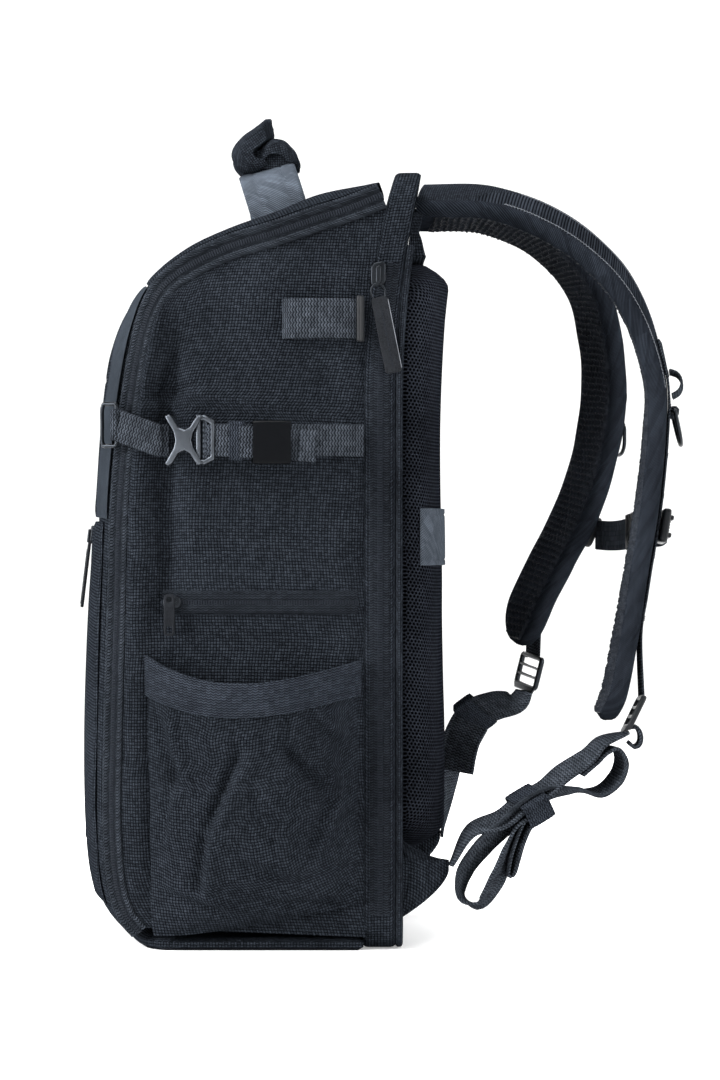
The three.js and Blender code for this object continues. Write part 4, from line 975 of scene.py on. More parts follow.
def side_surface(side, columns, rows, off, relief=1.0):
    """A patch between the front zip, the top panel, the gusset and the base."""
    bottom = BASE_THICKNESS + GAP
    inset = -2.0
    u, v = np.meshgrid(np.linspace(0, 1, columns + 1), np.linspace(0, 1, rows + 1))
    across = np.linspace(0, 1, columns + 1)
    up = np.linspace(0, 1, rows + 1)
    fore = side_edge(up * SIDE_CORNER, inset)
    fore[:, 2] = np.maximum(fore[:, 2], bottom)
    top = side_edge(SIDE_CORNER + across * (TOP_END - SIDE_CORNER), inset)
    z = bottom + (top[-1, 2] - bottom) * up
    aft = np.stack([np.full(rows + 1, HALF_WIDTH), gusset_front(z) + 1.0, z], -1)
    first = side_edge([0.0], inset)[0]
    low = np.stack([
        np.full(columns + 1, HALF_WIDTH), first[1] + (aft[0, 1] - first[1]) * across,
        np.full(columns + 1, bottom),
    ], -1)
    mix = fore[:, None] * (1 - u[..., None]) + aft[:, None] * u[..., None]
    mix = mix + low[None] * (1 - v[..., None]) + top[None] * v[..., None]
    lower = low[0] * (1 - u[..., None]) + low[-1] * u[..., None]
    upper = top[0] * (1 - u[..., None]) + top[-1] * u[..., None]
    mix = mix - lower * (1 - v[..., None]) - upper * v[..., None]
    y, zz = mix[..., 1], mix[..., 2]
    height = off + relief * side_relief(y, zz, side) * fade(u, v, 0.045)
    return on_side(side, y, zz, height - 1.4 * (1 - fade(u, v, 0.03)) * relief)


def add_side_panels():
    for name, side in SIDES:
        front = side_surface(side, SIDE_COLUMNS, SIDE_ROWS, 0)
        back = side_surface(side, SIDE_COLUMNS, SIDE_ROWS, -WALL, 0.0)
        piece = Piece().shell(front, back)
        obj = piece.build(f"side_{name}_nylon", BALLISTIC, node=f"side_panel_{name}")


# The front: foam wall below, then the pocket and the upper panels sewn on it

def front_patch(start, stop, left, right, columns, rows, relief, thickness=CLOTH, depth=SEAM):
    """The outer and inner grids of cloth between two places up the front and two turns round it."""
    def height(u, v):
        s = start + (stop - start) * v
        turn = left + (right - left) * u
        return s, turn, relief(u, v, turn)

    def outer(u, v):
        s, turn, lift = height(u, v)
        return front_at(s, turn, depth - lift)

    def inner(u, v):
        s, turn, lift = height(u, v)
        return front_at(s, turn, depth + thickness - np.minimum(lift, 0))

    return grid(outer, columns, rows), grid(inner, columns, rows)


def rounded(u, v, edge_u, edge_v, drop):
    """How far a patch sinks towards its edges."""
    near_u = smoothstep(nearer(u), 0, edge_u)
    near_v = smoothstep(nearer(v), 0, edge_v)
    return -drop * (1 - near_u * near_v)


def pocket_relief(u, v, turn):
    swell = 2.2 * arch(u) ** 0.6 * arch(v) ** 0.7
    puckers = 0.8 * np.sin(turn / 3.1 + 2 * np.sin(v * 5)) * bump(v, 0.97, 0.06)
    folds = 0.9 * np.sin(v * 19 + turn / 13.0) * bump(np.abs(u - 0.5), 0.42, 0.12)
    seam = -1.1 * bump(v, 0.3, 0.008) + 0.6 * bump(v, 0.31, 0.02)
    return swell * 0.35 + puckers + folds * 0.8 + seam + rounded(u, v, 0.03, 0.02, 1.3)


def upper_relief(u, v, turn):
    seam = -1.0 * bump(v, 0.42, 0.008)
    flow = 0.35 * np.sin(v * 15 + u * 3) + 0.3 * np.sin(u * 9 - v * 4)
    return seam + flow + rounded(u, v, 0.02, 0.02, 1.1)


def slick_relief(u, v, turn):
    crease = 0.5 * np.sin(v * 9 + u * 5) + 0.35 * np.sin(v * 23 - u * 7)
    return crease + rounded(u, v, 0.04, 0.02, 1.0)


def add_front():
    def plain(u, v, turn):
        return 0 * u

    base = CLOTH + 3 * GAP + SEAM
    wall = front_patch(0.0, FRONT_END - 0.001, -90, 90, 60, 70, plain, WALL, base)
    obj = Piece().shell(*wall).build("front_wall_nylon", BALLISTIC, node="front_panel")
    low, high = POCKET_TOP + 0.003, FRONT_END - 0.004
    pocket = (0.075, POCKET_TOP, -72, 72, 110, 80)
    upper = (low, high, -46, 46, 70, 70)
    right = (low, high, 46.6, 82, 30, 70)
    left = (low, high, -82, -46.6, 30, 70)
    for name, cloth, node, patch, relief in (
        ("front_pocket_nylon", BALLISTIC, "front_pocket", pocket, pocket_relief),
        ("front_upper_nylon", BALLISTIC, "front_upper_panel", upper, upper_relief),
        ("slick_right_cloth", SLICK, "slick_panel_right", right, slick_relief),
        ("slick_left_cloth", SLICK, "slick_panel_left", left, slick_relief),
    ):
        Piece().shell(*front_patch(*patch, relief)).build(name, cloth, node)


def add_top():
    def relief(u, v, turn):
        flow = 0.5 * np.sin(v * 7 + u * 4) * arch(u)
        return flow + rounded(u, v, 0.02, 0.03, 1.0)

    top = front_patch(FRONT_END + 0.001, TOP_END, -90, 90, 90, 50, relief, WALL, 0)
    obj = Piece().shell(*top).build("top_nylon", BALLISTIC, node="top_panel")


# Zips

def band_profile(u):
    """Height across a zip: a rolled binding, the tape, and the other binding."""
    left = np.sqrt(np.clip(1 - ((u - 0.13) / 0.14) ** 2, 0, 1))
    right = np.sqrt(np.clip(1 - ((u - 0.87) / 0.14) ** 2, 0, 1))
    return 1.9 * np.maximum(left, right) + 0.35


def add_teeth(piece, points, across, up, pitch, width, height):
    """Low ridges across a line: points on it, and its directions there."""
    corners = np.array([(-1, 0, -0.4), (1, 0, -0.4), (1, 0, 0.4), (-1, 0, 0.4),
                        (-0.7, 1, -0.18), (0.7, 1, -0.18), (0.7, 1, 0.18), (-0.7, 1, 0.18)])
    faces = [(0, 3, 2, 1), (4, 5, 6, 7), (0, 1, 5, 4), (1, 2, 6, 5), (2, 3, 7, 6), (3, 0, 4, 7)]
    along = np.cross(up, across)
    for p, a, h, d in zip(points, across, up, along):
        flat = corners[:, :1] * a * width / 2
        piece.loose(p + flat + corners[:, 1:2] * h * height + corners[:, 2:] * d * pitch, faces)


def front_zip(side, name):
    """The band between a side and the front, with a rolled binding along both edges."""
    rows, cols, binding = 330, 18, 5

    def surface(u, v, off):
        s = v[:, 0] * TOP_END
        start = side_edge(s)
        stop = front_edge(s)
        _, out = edge_at(s)
        reach = 2 * zip_reach(s)
        normal = out * zip_inset(s)[:, None]
        normal[:, 0] += reach
        normal = unit(normal)
        point = start[:, None] + (stop - start)[:, None] * u[..., None]
        point = point + normal[:, None] * off[..., None]
        point[..., 0] *= side
        return point

    front = grid(lambda u, v: surface(u, v, band_profile(u)), cols, rows)
    back = grid(lambda u, v: surface(u, v, 0 * u), cols, rows)
    piece = Piece().shell(front, back)
    for k in range(rows * cols):
        if k % cols < binding or k % cols >= cols - binding:
            piece.slots[k] = 1
    piece.build(f"front_zip_band_{name}", [ZIP_TAPE, BINDING], node=f"front_zip_{name}")
    return front


def coil_on(points, name, pitch=1.6, width=4.2, height=0.9, lift=0.1):
    """A zip's coil along the middle of a grid of its band."""
    middle = (points.shape[1] - 1) // 2
    line = Line(points[::3, middle])
    t = line.even(pitch)
    across = unit(points[:, middle + 2] - points[:, middle - 2])
    along = unit(np.gradient(points[:, middle], axis=0))
    up = unit(np.cross(across, along))
    centre = points.mean(axis=(0, 1)) * (0, 1, 1)
    up = np.where(np.sum(up * (points[:, middle] - centre), axis=1, keepdims=True) < 0, -up, up)
    place = np.linspace(0, 1, len(points))
    a = unit(np.stack([np.interp(t, place, across[:, k]) for k in range(3)], -1))
    h = unit(np.stack([np.interp(t, place, up[:, k]) for k in range(3)], -1))
    piece = Piece()
    add_teeth(piece, line.at(t) + h * lift, a, h, pitch, width, height)
    piece.build(name, ZIP_COIL, sharp=30)


def add_front_zips():
    for name, side in SIDES:
        band = front_zip(side, name)
        coil_on(band, f"front_zip_coil_{name}")


add_side_panels()
add_front()
add_top()
add_front_zips()


# The rear gusset, its zips and piping, the base, and the padded back

def rear_outline(inset, corner_steps=10, rise_steps=40):
    """The shell's rounded outline seen from behind, pulled in, as (x, z) from the lower left."""
    width = HALF_WIDTH - inset
    top = PACK_HEIGHT - 1 - inset
    bottom = GAP + inset
    high = TOP_CORNER - inset
    low = BOTTOM_CORNER - inset

    def arc(x, z, radius, start):
        turn = start + np.linspace(0, math.pi / 2, corner_steps)
        return np.stack([x + radius * np.cos(turn), z + radius * np.sin(turn)], -1)

    def rise(x, a, b):
        z = np.linspace(a, b, rise_steps + 2)[1:-1]
        return np.stack([np.full(rise_steps, x), z], -1)

    def run(z, a, b):
        x = np.linspace(a, b, 18)[1:-1]
        return np.stack([x, np.full(16, z)], -1)

    return np.vstack([
        arc(-width + low, bottom + low, low, math.pi),
        run(bottom, -width + low, width - low),
        arc(width - low, bottom + low, low, 1.5 * math.pi),
        rise(width, bottom + low, top - high),
        arc(width - high, top - high, high, 0),
        run(top, width - high, -width + high),
        arc(-width + high, top - high, high, 0.5 * math.pi),
        rise(-width, top - high, bottom + low),
    ])


def outward(outline):
    """Unit directions out of a closed outline."""
    step = np.roll(outline, -1, axis=0) - np.roll(outline, 1, axis=0)
    return unit(np.stack([step[:, 1], -step[:, 0]], -1))


def gusset_relief(share, z):
    """Rounded edges, with the seams of the zip's tapes between them."""
    edge = -1.6 * (1 - smoothstep(nearer(share), 0, 0.12))
    ripple = 0.3 * np.sin(z / 9.0) * bump(share, 0.1, 0.2)
    return edge + ripple


def add_gusset():
    """The closed ring of cloth round the rear of the shell."""
    outer = rear_outline(0)
    inner = rear_outline(GUSSET_WALL)
    out = outward(outer)
    shares = np.linspace(0, 1, 13)
    sections = []
    for k, (x, z) in enumerate(outer):
        front, rear = gusset_front(z) - 0.9, gusset_rear(z)
        lift = gusset_relief(shares, z)
        face = np.stack([
            x + out[k, 0] * lift, front + (rear - front) * shares, z + out[k, 1] * lift,
        ], -1)
        ix, iz = inner[k]
        back = np.stack([
            np.full(5, ix), np.linspace(gusset_rear(iz), gusset_front(iz), 5), np.full(5, iz),
        ], -1)
        sections.append(np.vstack([face, back]))
    Piece().tube(np.array(sections), ring=True).build("rear_gusset_nylon", BALLISTIC, sharp=50,
                                                      node="rear_gusset")


def add_rear_door():
    inset = GUSSET_WALL + GAP
    bottom = 2 * GAP + inset
    top = PACK_HEIGHT - 1 - inset - GAP
    low = BOTTOM_CORNER - inset
    high = TOP_CORNER - inset

    def half_at(z):
        below = np.clip((bottom + low - z) / low, 0, 1)
        above = np.clip((z - top + high) / high, 0, 1)
        pull = low * (1 - np.sqrt(1 - below**2)) + high * (1 - np.sqrt(1 - above**2))
        return HALF_WIDTH - inset - GAP - pull

    def surface(u, v, depth):
        z = bottom + (top - bottom) * (0.5 - 0.5 * np.cos(np.pi * v))
        return np.stack([(2 * u - 1) * half_at(z), gusset_rear(z) - GAP - depth, z], -1)

    door = Piece().shell(*layers(surface, 0, WALL, 24, 50))
    obj = door.build("rear_door_nylon", BALLISTIC, node="rear_door")


REAR_ZIP_LOW = BOTTOM_CORNER + 2 * GAP
REAR_ZIP_HIGH = 0.878 * PACK_HEIGHT


def add_rear_zip(name, side):
    def surface(u, v, off):
        z = REAR_ZIP_LOW + (REAR_ZIP_HIGH - REAR_ZIP_LOW) * v
        y = gusset_front(z) + (gusset_rear(z) - gusset_front(z)) * (0.16 + 0.68 * u)
        return places(side * (HALF_WIDTH + off), y, z)

    def profile(u):
        tape = 0.9 + 0.5 * bump(u, 0.33, 0.12) + 0.5 * bump(u, 0.67, 0.12)
        return tape - 1.5 * (1 - smoothstep(nearer(u), 0, 0.1))

    front = grid(lambda u, v: surface(u, v, profile(u)), 18, 120)
    back = grid(lambda u, v: surface(u, v, -0.8 + 0 * u), 18, 120)
    Piece().shell(front, back).build(f"rear_zip_tape_{name}", ZIP_TAPE, node=f"rear_zip_{name}")
    coil_on(front, f"rear_zip_coil_{name}", width=3.6, height=0.8)


def add_piping():
    radius = PIPING / 2
    outline = rear_outline(radius, 14, 60)
    points = np.stack([
        outline[:, 0], gusset_rear(outline[:, 1]) + radius + GAP - 0.9, outline[:, 1],
    ], -1)
    start = next(k for k, (x, z) in enumerate(outline) if x > 0 and z > 0.9 * PACK_HEIGHT)
    stop = next(k for k, (x, z) in enumerate(outline) if k > start and x < 0 and z < 0.93 * PACK_HEIGHT)
    path = np.vstack([points[stop:], points[:start + 1]])
    line = Line(path)
    t = np.linspace(0, 1, 240)
    sections = sweep(line, t, WIRE_OUTLINE, vec(0, 1, 0), width=PIPING, thick=PIPING)
    Piece().tube(sections).build("rear_piping_cord", BALLISTIC_FINE, node="rear_piping")


def add_base():
    front = side_edge([0.0])[0, 1]
    rear = gusset_front(0) - GAP
    bow = 0.075 * PACK_DEPTH

    def surface(u, v, top):
        x = (2 * u - 1) * (HALF_WIDTH - 1)
        corner = 1 - np.sqrt(np.clip(1 - np.clip((np.abs(x) - HALF_WIDTH + 25) / 24, 0, 1) ** 2, 0, 1))
        nose = front - bow * (1 - (x / HALF_WIDTH) ** 2) + 20 * corner
        y = nose + (rear - nose) * v
        near = np.minimum(nearer(u) * 290, nearer(v) * 150)
        round_off = 2.4 * (1 - np.sqrt(np.clip(1 - np.clip(1 - near / 4, 0, 1) ** 2, 0, 1)))
        crease = 0.25 * np.sin(x / 11.0) * np.sin(y / 13.0)
        z = BASE_THICKNESS - round_off if top else round_off + np.clip(crease, 0, 1)
        return places(x, y, z)

    base = Piece().shell(*layers(surface, False, True, 70, 36))
    base.build("base_nylon", BALLISTIC, node="base_panel")


def padding_depth(x, z):
    """The back pad's depth: a crowned block with a channel down its middle."""
    share = np.clip(np.abs(x) / (PAD_WIDTH_BACK / 2), 0, 1)
    crown = np.maximum(1 - share**4.5, 0) ** 0.45
    channel = np.exp(-((np.abs(x) / (CHANNEL_WIDTH / 2)) ** 3))
    waist = 0.1 * np.sin(np.pi * 2.1 * (z / PACK_HEIGHT) + 0.4)
    return 6 + (PAD_DEPTH_BACK - 6) * crown * (1 + waist * 0.5) - CHANNEL_DEPTH * channel


def back_surface(u, v, off, relief):
    """The padding's rear face; u runs round from side to side."""
    end = np.maximum(np.abs(2 * v - 1) - 0.86, 0) / 0.14
    half = (PAD_WIDTH_BACK / 2) * (1 - 0.14 * end**2)
    z = PAD_BOTTOM + (PAD_TOP - PAD_BOTTOM) * v
    x = -np.cos(np.pi * u) * half
    rise = np.maximum(np.abs(2 * v - 1) - 0.93, 0) / 0.07
    place = x * (PAD_WIDTH_BACK / 2) / half
    depth = padding_depth(place, z) * (1 - 0.45 * rise**2)
    side = np.clip(np.abs(place) / (PAD_WIDTH_BACK / 2), 0, 1)
    band = (BAND_LEVEL - PAD_BOTTOM) / (PAD_TOP - PAD_BOTTOM)
    pull = -1.2 * bump(v, band, 0.03) * smoothstep(side, 0.4, 0.6)
    wave = 0.7 * np.sin(z / 19.0 + 2 * side) * smoothstep(side, 0.3, 0.7)
    cut = -2.2 * bump(np.abs(place), 58, 2.2) * smoothstep(v, 0.03, 0.1) * (1 - smoothstep(v, 0.9, 0.97))
    depth = depth + relief * (pull + wave + cut) + off
    return np.stack([x, gusset_rear(z) + GAP + np.maximum(depth, 0.5), z], -1)


def add_back_pad():
    rear = grid(lambda u, v: back_surface(u, v, 0, 1), 110, 110)

    def flat(u, v):
        point = back_surface(u, v, 0, 0)
        point[..., 1] = gusset_rear(point[..., 2]) + GAP
        return point

    front = grid(flat, 110, 110)
    obj = Piece().shell(rear, front).build("back_air_mesh", AIR_MESH, sharp=70, node="back_pad")


def add_trolley_band():
    """A flat band held over the back pad and its channel."""
    half = PAD_WIDTH_BACK / 2 - 3

    def surface(u, v, off):
        z = BAND_LEVEL + (v - 0.5) * BAND_HEIGHT
        x = -np.cos(np.pi * u) * half
        hold = np.maximum(np.abs(x), CHANNEL_WIDTH * 0.85)
        bulk = np.maximum(padding_depth(hold, z), padding_depth(x, z))
        soft = 0.25 * np.sin(x / 9.0) * arch(v)
        hem = -0.5 * bump(v, 0.1, 0.015) - 0.5 * bump(v, 0.9, 0.015)
        return np.stack([x, gusset_rear(z) + 2 * GAP + bulk + off + (soft + hem) * (off > 0), z], -1)

    band = Piece().shell(*layers(surface, CLOTH, 0, 90, 30))
    obj = band.build("trolley_band_twill", TWILL, node="trolley_band")


def add_yoke():
    """The panel at the top of the back that the shoulder straps are sewn into."""
    def surface(u, v, off):
        x = (u - 0.5) * YOKE_WIDTH
        flare = 6 * (1 - v) ** 2
        low = YOKE_BOTTOM + GAP + 6 * (np.abs(2 * u - 1) ** 6) * (1 - v) - 4 * (1 - v)
        z = low + (YOKE_TOP - low) * v
        dent = 1.8 * bump(v, 0.62, 0.16) + 0.5 * np.sin(x / 7.0) * (1 - v)
        y = gusset_rear(z) + GAP + off * (1 + flare / WALL) - dent * (off > 0)
        return places(x, y, z)

    Piece().shell(*layers(surface, WALL, 0, 110, 24)).build("yoke_nylon", BALLISTIC, node="top_yoke")


def plate_curve(outline, thickness, bevel, holes):
    """A flat filled curve with a rounded rim, in metres."""
    data = bpy.data.curves.new("slab", "CURVE")
    data.dimensions = "2D"
    data.fill_mode = "BOTH"
    data.extrude = (thickness / 2 - bevel) * MM
    data.bevel_depth = bevel * MM
    data.bevel_resolution = 2
    data.offset = -bevel * MM
    for shape in (outline, *holes):
        spline = data.splines.new("POLY")
        spline.points.add(len(shape) - 1)
        for point, (x, y) in zip(spline.points, shape):
            point.co = (x * MM, y * MM, 0, 1)
        spline.use_cyclic_u = True
    return data


def curve_faces(data):
    """A curve's mesh as points in millimetres, with doubled ones joined, and faces; the curve goes."""
    obj = bpy.data.objects.new("slab", data)
    bpy.context.scene.collection.objects.link(obj)
    bpy.context.view_layer.update()
    graph = bpy.context.evaluated_depsgraph_get()
    mesh = bpy.data.meshes.new_from_object(obj.evaluated_get(graph))
    co = np.array([v.co[:] for v in mesh.vertices]) / MM
    merged, index = np.unique(np.round(co, 4), axis=0, return_inverse=True)
    index = index.ravel()
    faces = []
    for polygon in mesh.polygons:
        face = []
        for k in polygon.vertices:
            if not face or index[k] != face[-1]:
                face.append(int(index[k]))
        if face[0] == face[-1]:
            face.pop()
        if len(set(face)) > 2:
            faces.append(face)
    bpy.data.objects.remove(obj)
    bpy.data.meshes.remove(mesh)
    bpy.data.curves.remove(data)
    return merged, faces


def slab(piece, outline, thickness, axes, middle, bevel=0.8, holes=(), slot=0):
    """A flat part with rounded edges, cut from an outline and put along three directions."""
    points, faces = curve_faces(plate_curve(outline, thickness, bevel, holes))
    turn = np.stack([unit(axis) for axis in axes])
    piece.loose(points @ turn + np.asarray(middle, float), faces, slot)


def rounded_box(width, height, radius, steps=5):
    x, y = width / 2 - radius, height / 2 - radius
    points = []
    for sx, sy, start in ((1, 1, 0), (-1, 1, 90), (-1, -1, 180), (1, -1, 270)):
        for k in range(steps + 1):
            turn = math.radians(start + 90 * k / steps)
            points.append((sx * x + radius * math.cos(turn), sy * y + radius * math.sin(turn)))
    return points


def shifted(outline, x_shift=0, y_shift=0):
    return [(x + x_shift, y + y_shift) for x, y in outline]


def add_wing(name, side):
    """Folded cloth at a lower corner, stitched in a box beside the gusset."""
    half = WING_THICKNESS / 2
    place = HALF_WIDTH - PIPING - half - 2 * GAP

    def surface(u, v, off):
        rise = 1 - (1 - np.minimum(v / 0.6, 1)) ** 1.6
        reach = WING_LENGTH * rise * (1 - np.clip((v - 0.72) / 0.28, 0, 1) ** 0.6)
        y = gusset_rear(0) + GAP + u * np.maximum(reach, 1.5)
        z = WING_LOW * PACK_HEIGHT + WING_HEIGHT * v
        fold = 0.7 * np.sin(9 * u + 5 * v) * arch(v)
        box = -0.6 * bump(u, 0.25, 0.02) - 0.6 * bump(u, 0.62, 0.02)
        rim = 2.2 * (1 - np.minimum(smoothstep(nearer(u), 0, 0.1), smoothstep(nearer(v), 0, 0.08)))
        x = side * (place + off * (half - rim + (fold + box) * (off > 0)))
        return np.stack([x, y, z], -1)

    shell = Piece().shell(*layers(surface, 1, -1, 40, 50))
    shell.build(f"wing_nylon_{name}", BALLISTIC, node=f"wing_{name}")


add_gusset()
add_rear_door()
for side_name, side_sign in SIDES:
    add_rear_zip(side_name, side_sign)
    add_wing(side_name, side_sign)
add_piping()
add_base()
add_back_pad()
add_trolley_band()
add_yoke()


# The carry handle

def add_handle():
    """A padded strap that arches over the top, with sewn edges."""
    slope = EDGE.tangent([HANDLE_PLACE])[0]
    up = vec(0, -slope[2], slope[1])
    half = HANDLE_SPAN / 2
    turn = math.degrees(math.asin(half / HALF_WIDTH))
    foot = front_at(HANDLE_PLACE, turn, 0)
    foot[0] = 0
    foot = foot + up * 6 * GAP
    rows = [(-1, 0), (-0.97, 0.3), (-0.66, 0.8), (0, 1), (0.66, 0.8), (0.97, 0.3), (1, 0)]
    line = Line([foot + up * b * HANDLE_RISE + vec(a * half, 0, 0) for a, b in rows])
    t = line.even(2.0)
    across = np.linspace(-1, 1, 25)
    seams = -0.5 * bump(across, -0.52, 0.03) - 0.5 * bump(across, 0.52, 0.03)
    lift = np.where(np.abs(across) > 0.99, 0.3, 1.0) + seams
    outline = np.vstack([np.stack([across, -lift], -1), np.stack([across[::-1], lift[::-1]], -1)])
    sections = sweep(line, t, outline, slope, width=HANDLE_WIDTH, thick=3.2)
    sections[:, :, 2] -= 2.0 * bump(t, 0.0, 0.012)[:, None] + 2.0 * bump(t, 1.0, 0.012)[:, None]
    Piece().tube(sections).build("handle_twill", TWILL, node="handle_strap")
    add_grip(foot + up * HANDLE_RISE)


FOLD_SIDES = 64
FOLD_STATIONS = 45


def fold_of_cloth(piece, outline, crest, length, ripple):
    """A padded fold that runs along X and rounds off at both ends."""
    ring = Line([(0, y, z) for y, z in outline], closed=True)
    section = ring.at(around(FOLD_SIDES))
    middle = section.mean(axis=0)
    sections = []
    for share in np.linspace(-1, 1, FOLD_STATIONS):
        size = 0.62 + 0.38 * math.sqrt(max(1 - abs(share) ** 5, 0))
        turn = 2 * np.pi * around(FOLD_SIDES)
        wave = 1 + ripple * np.sin(3 * turn + 6 * share) + 0.5 * ripple * np.sin(7 * turn - 9 * share)
        ring_at = middle + (section - middle) * size * wave[:, None]
        ring_at[:, 0] = share * length / 2 - 1.5 * np.cos(3 * turn) * abs(share) ** 3
        sections.append(ring_at + crest * (0, 1, 1))
    piece.tube(np.array(sections))


TALL_FOLD = [
    (4, -1), (-4, -4), (-12, -4), (-19, 0), (-22, 7), (-21, 14), (-16, 21), (-9, 26), (-3, 29.5),
    (1, 32.5), (3.5, 31.5), (4, 27), (5, 21), (1, 17), (-5, 12), (-9.5, 6), (-6, 1.5),
]
ARCH_FOLD = [
    (-8, 5), (-5, 11), (0, 16.5), (6, 19.5), (12, 18.5), (18, 13.5), (21.5, 7), (21.5, 1.5), (18, 0.5),
    (15.5, 4.5), (10, 8), (3, 8.5), (-3, 5.5), (-6, 3),
]


def add_grip(crest):
    """Two folds of cloth round the handle: one stands up to a peak, one arches over it."""
    piece = Piece()
    fold_of_cloth(piece, TALL_FOLD, crest, 74, 0.035)
    fold_of_cloth(piece, ARCH_FOLD, crest, 72, 0.03)
    core = Line([vec(x, crest[1] + 2, crest[2] + up) for x, up in ((-33, 5), (0, 6), (33, 5))])
    piece.tube(sweep(core, np.linspace(0, 1, 12), WIRE_OUTLINE, vec(0, 1, 0), width=30, thick=13))
    obj = piece.build("grip_nylon", BALLISTIC_FINE, sharp=60, node="handle_grip")


# Side pockets

def pocket_place(u, v):
    """Places on a side pocket, u from its front and v up it, and how far it bulges there."""
    front = side_edge([0.2])[0, 1] + 0.075 * PACK_DEPTH + 2 * (1 - v)
    rear = GUSSET_FRONT - 3 * CLOTH
    hem = POCKET_HEM + 2 - 4 * u - HEM_SAG * np.sin(np.pi * np.clip(u, 0, 1) ** 0.8)
    foot = BASE_THICKNESS + CLOTH + 20 * np.clip(u, 0, 1) ** 1.3
    rise = np.sin(np.minimum(v / 0.4, 1) * np.pi / 2) ** 0.8 * (1 - 0.2 * v)
    bulge = POCKET_BULGE * arch(u) ** 0.7 * rise
    return front + (rear - front) * u, foot + (hem - foot) * v, bulge


def crease_line(y, z, start, stop, width, depth):
    """A fold of cloth from one place on a side to another: a ridge beside a valley."""
    start, stop = np.array(start, float), np.array(stop, float)
    run = stop - start
    length = np.linalg.norm(run)
    run = run / length
    along = (y - start[0]) * run[0] + (z - start[1]) * run[1]
    aside = -(y - start[0]) * run[1] + (z - start[1]) * run[0]
    share = along / length
    ends = smoothstep(share, -0.15, 0.2) * (1 - smoothstep(share, 0.8, 1.15))
    return depth * ends * (bump(aside, width, width) - 1.2 * bump(aside, -0.4 * width, 0.7 * width))


FOLDS = [
    ((-8, 127), (-30, 76), 5, 2.6),
    ((-30, 76), (-36, 38), 5, 2.2),
    ((17, 132), (46, 98), 5, 2.4),
    ((46, 98), (32, 64), 4, 1.8),
    ((-62, 150), (-44, 96), 5, 1.6),
    ((12, 34), (52, 33), 4, 1.6),
    ((-58, 40), (-18, 26), 4, 1.4),
    ((-10, 60), (22, 46), 5, 1.5),
    ((30, 150), (52, 128), 3.5, 1.5),
    ((-2, 100), (14, 66), 6, 1.3),
    ((-50, 118), (-58, 66), 4, 1.3),
]


def pocket_relief_at(u, v, y, z, near):
    height = 0 * u
    for k, (start, stop, width, depth) in enumerate(FOLDS):
        shift = 0 if near > 0 else 6 * math.sin(2.3 * k)
        height = height + crease_line(y + shift, z + shift, start, stop, width, 1.5 * depth)
    gathers = 0.8 * np.sin(u * 46 + 3 * np.sin(u * 9)) * bump(v, 0.8, 0.09)
    corners = 0.7 * np.sin(z / 4.6 + 2 * np.sin(z / 15)) * bump(nearer(u), 0.02, 0.05)
    seam = -0.9 * bump(v, 0.1, 0.012)
    return (height + gathers + corners) * (1 - 0.8 * smoothstep(v, 0.86, 0.93)) + seam


def pocket_grid(side, low, high, off, thickness, columns, rows, relief):
    u, v = np.meshgrid(np.linspace(0, 1, columns + 1), low + (high - low) * np.linspace(0, 1, rows + 1))
    y, z, bulge = pocket_place(u, v)
    points = on_side(1, y, z, bulge + GAP)
    n = normals(points)
    n = np.where(n[..., :1] < 0, -n, n)
    edge = smoothstep(nearer(u), 0, 0.05)
    lift = relief(u, v, y, z) * edge
    outer = points + n * (off + thickness + lift)[..., None]
    inner = points + n * (off + lift)[..., None]
    for side_points in (outer, inner):
        side_points[..., 0] *= side
    return outer, inner


def add_pocket(name, side):
    cloth = lambda u, v, y, z: pocket_relief_at(u, v, y, z, side)
    outer, inner = pocket_grid(side, 0, 1, GAP, CLOTH, 110, 100, cloth)
    obj = Piece().shell(outer, inner).build(f"side_pocket_nylon_{name}", BALLISTIC,
                                            node=f"side_pocket_{name}")
    share = HEM_HEIGHT / POCKET_HEM

    def hem(u, v, y, z):
        place = (v - (1 - share)) / share
        roll = 0.9 * np.sqrt(np.clip(1 - (2 * place - 1) ** 2, 0, 1)) - 0.3
        gather = 0.35 * np.sin(u * 90) * smoothstep(u, 0.5, 0.6) * (1 - place)
        stitch = -0.5 * bump(place, 0.12, 0.03) - 0.4 * bump(place, 0.88, 0.03)
        return roll + gather + stitch

    outer, inner = pocket_grid(side, 1 - share, 1.004, GAP * 2 + CLOTH, CLOTH, 110, 16, hem)
    Piece().shell(outer, inner).build(f"pocket_hem_elastic_{name}", ELASTIC, node=f"pocket_hem_{name}")


# Webbing and hardware on the sides

def side_strap_at(side, y, extra=0.0):
    """Places on the side strap's middle, which bows out from the side."""
    y = np.atleast_1d(np.asarray(y, float))
    along = (y + 0.36 * PACK_DEPTH) / (0.627 * PACK_DEPTH)
    lift = SIDE_STRAP_BOW * arch(along) ** 0.6
    return on_side(side, y, np.full(len(y), float(SIDE_STRAP_LEVEL)), WEBBING / 2 + GAP + lift + extra)


def ring_middle(side):
    """The middle of the ring that the side strap turns round, beside the front zip."""
    anchor = front_edge([RING_PLACE])[0]
    anchor[1] -= RING_WIRE
    anchor[2] = SIDE_STRAP_LEVEL + RING_RISE
    anchor[0] += ZIP_PROUD + RING_WIRE + RING_STAND
    return anchor * np.array([side, 1, 1])


BUCKLE_MIDDLE = -0.175 * PACK_DEPTH


def webbing(piece, line, width, roll=0.0, off=0.0, start=0.0, stop=1.0, across=(0, 0, 1), thick=WEBBING):
    """A flat strap along a line; roll may change along it."""
    t = line.even(SECTION_STEP, start, stop)
    if not np.isscalar(roll):
        roll = np.interp(t, np.linspace(0, 1, len(roll)), roll)
    sections = sweep(line, t, STRAP_OUTLINE, np.asarray(across, float), roll, width, thick, off)
    piece.tube(sections)


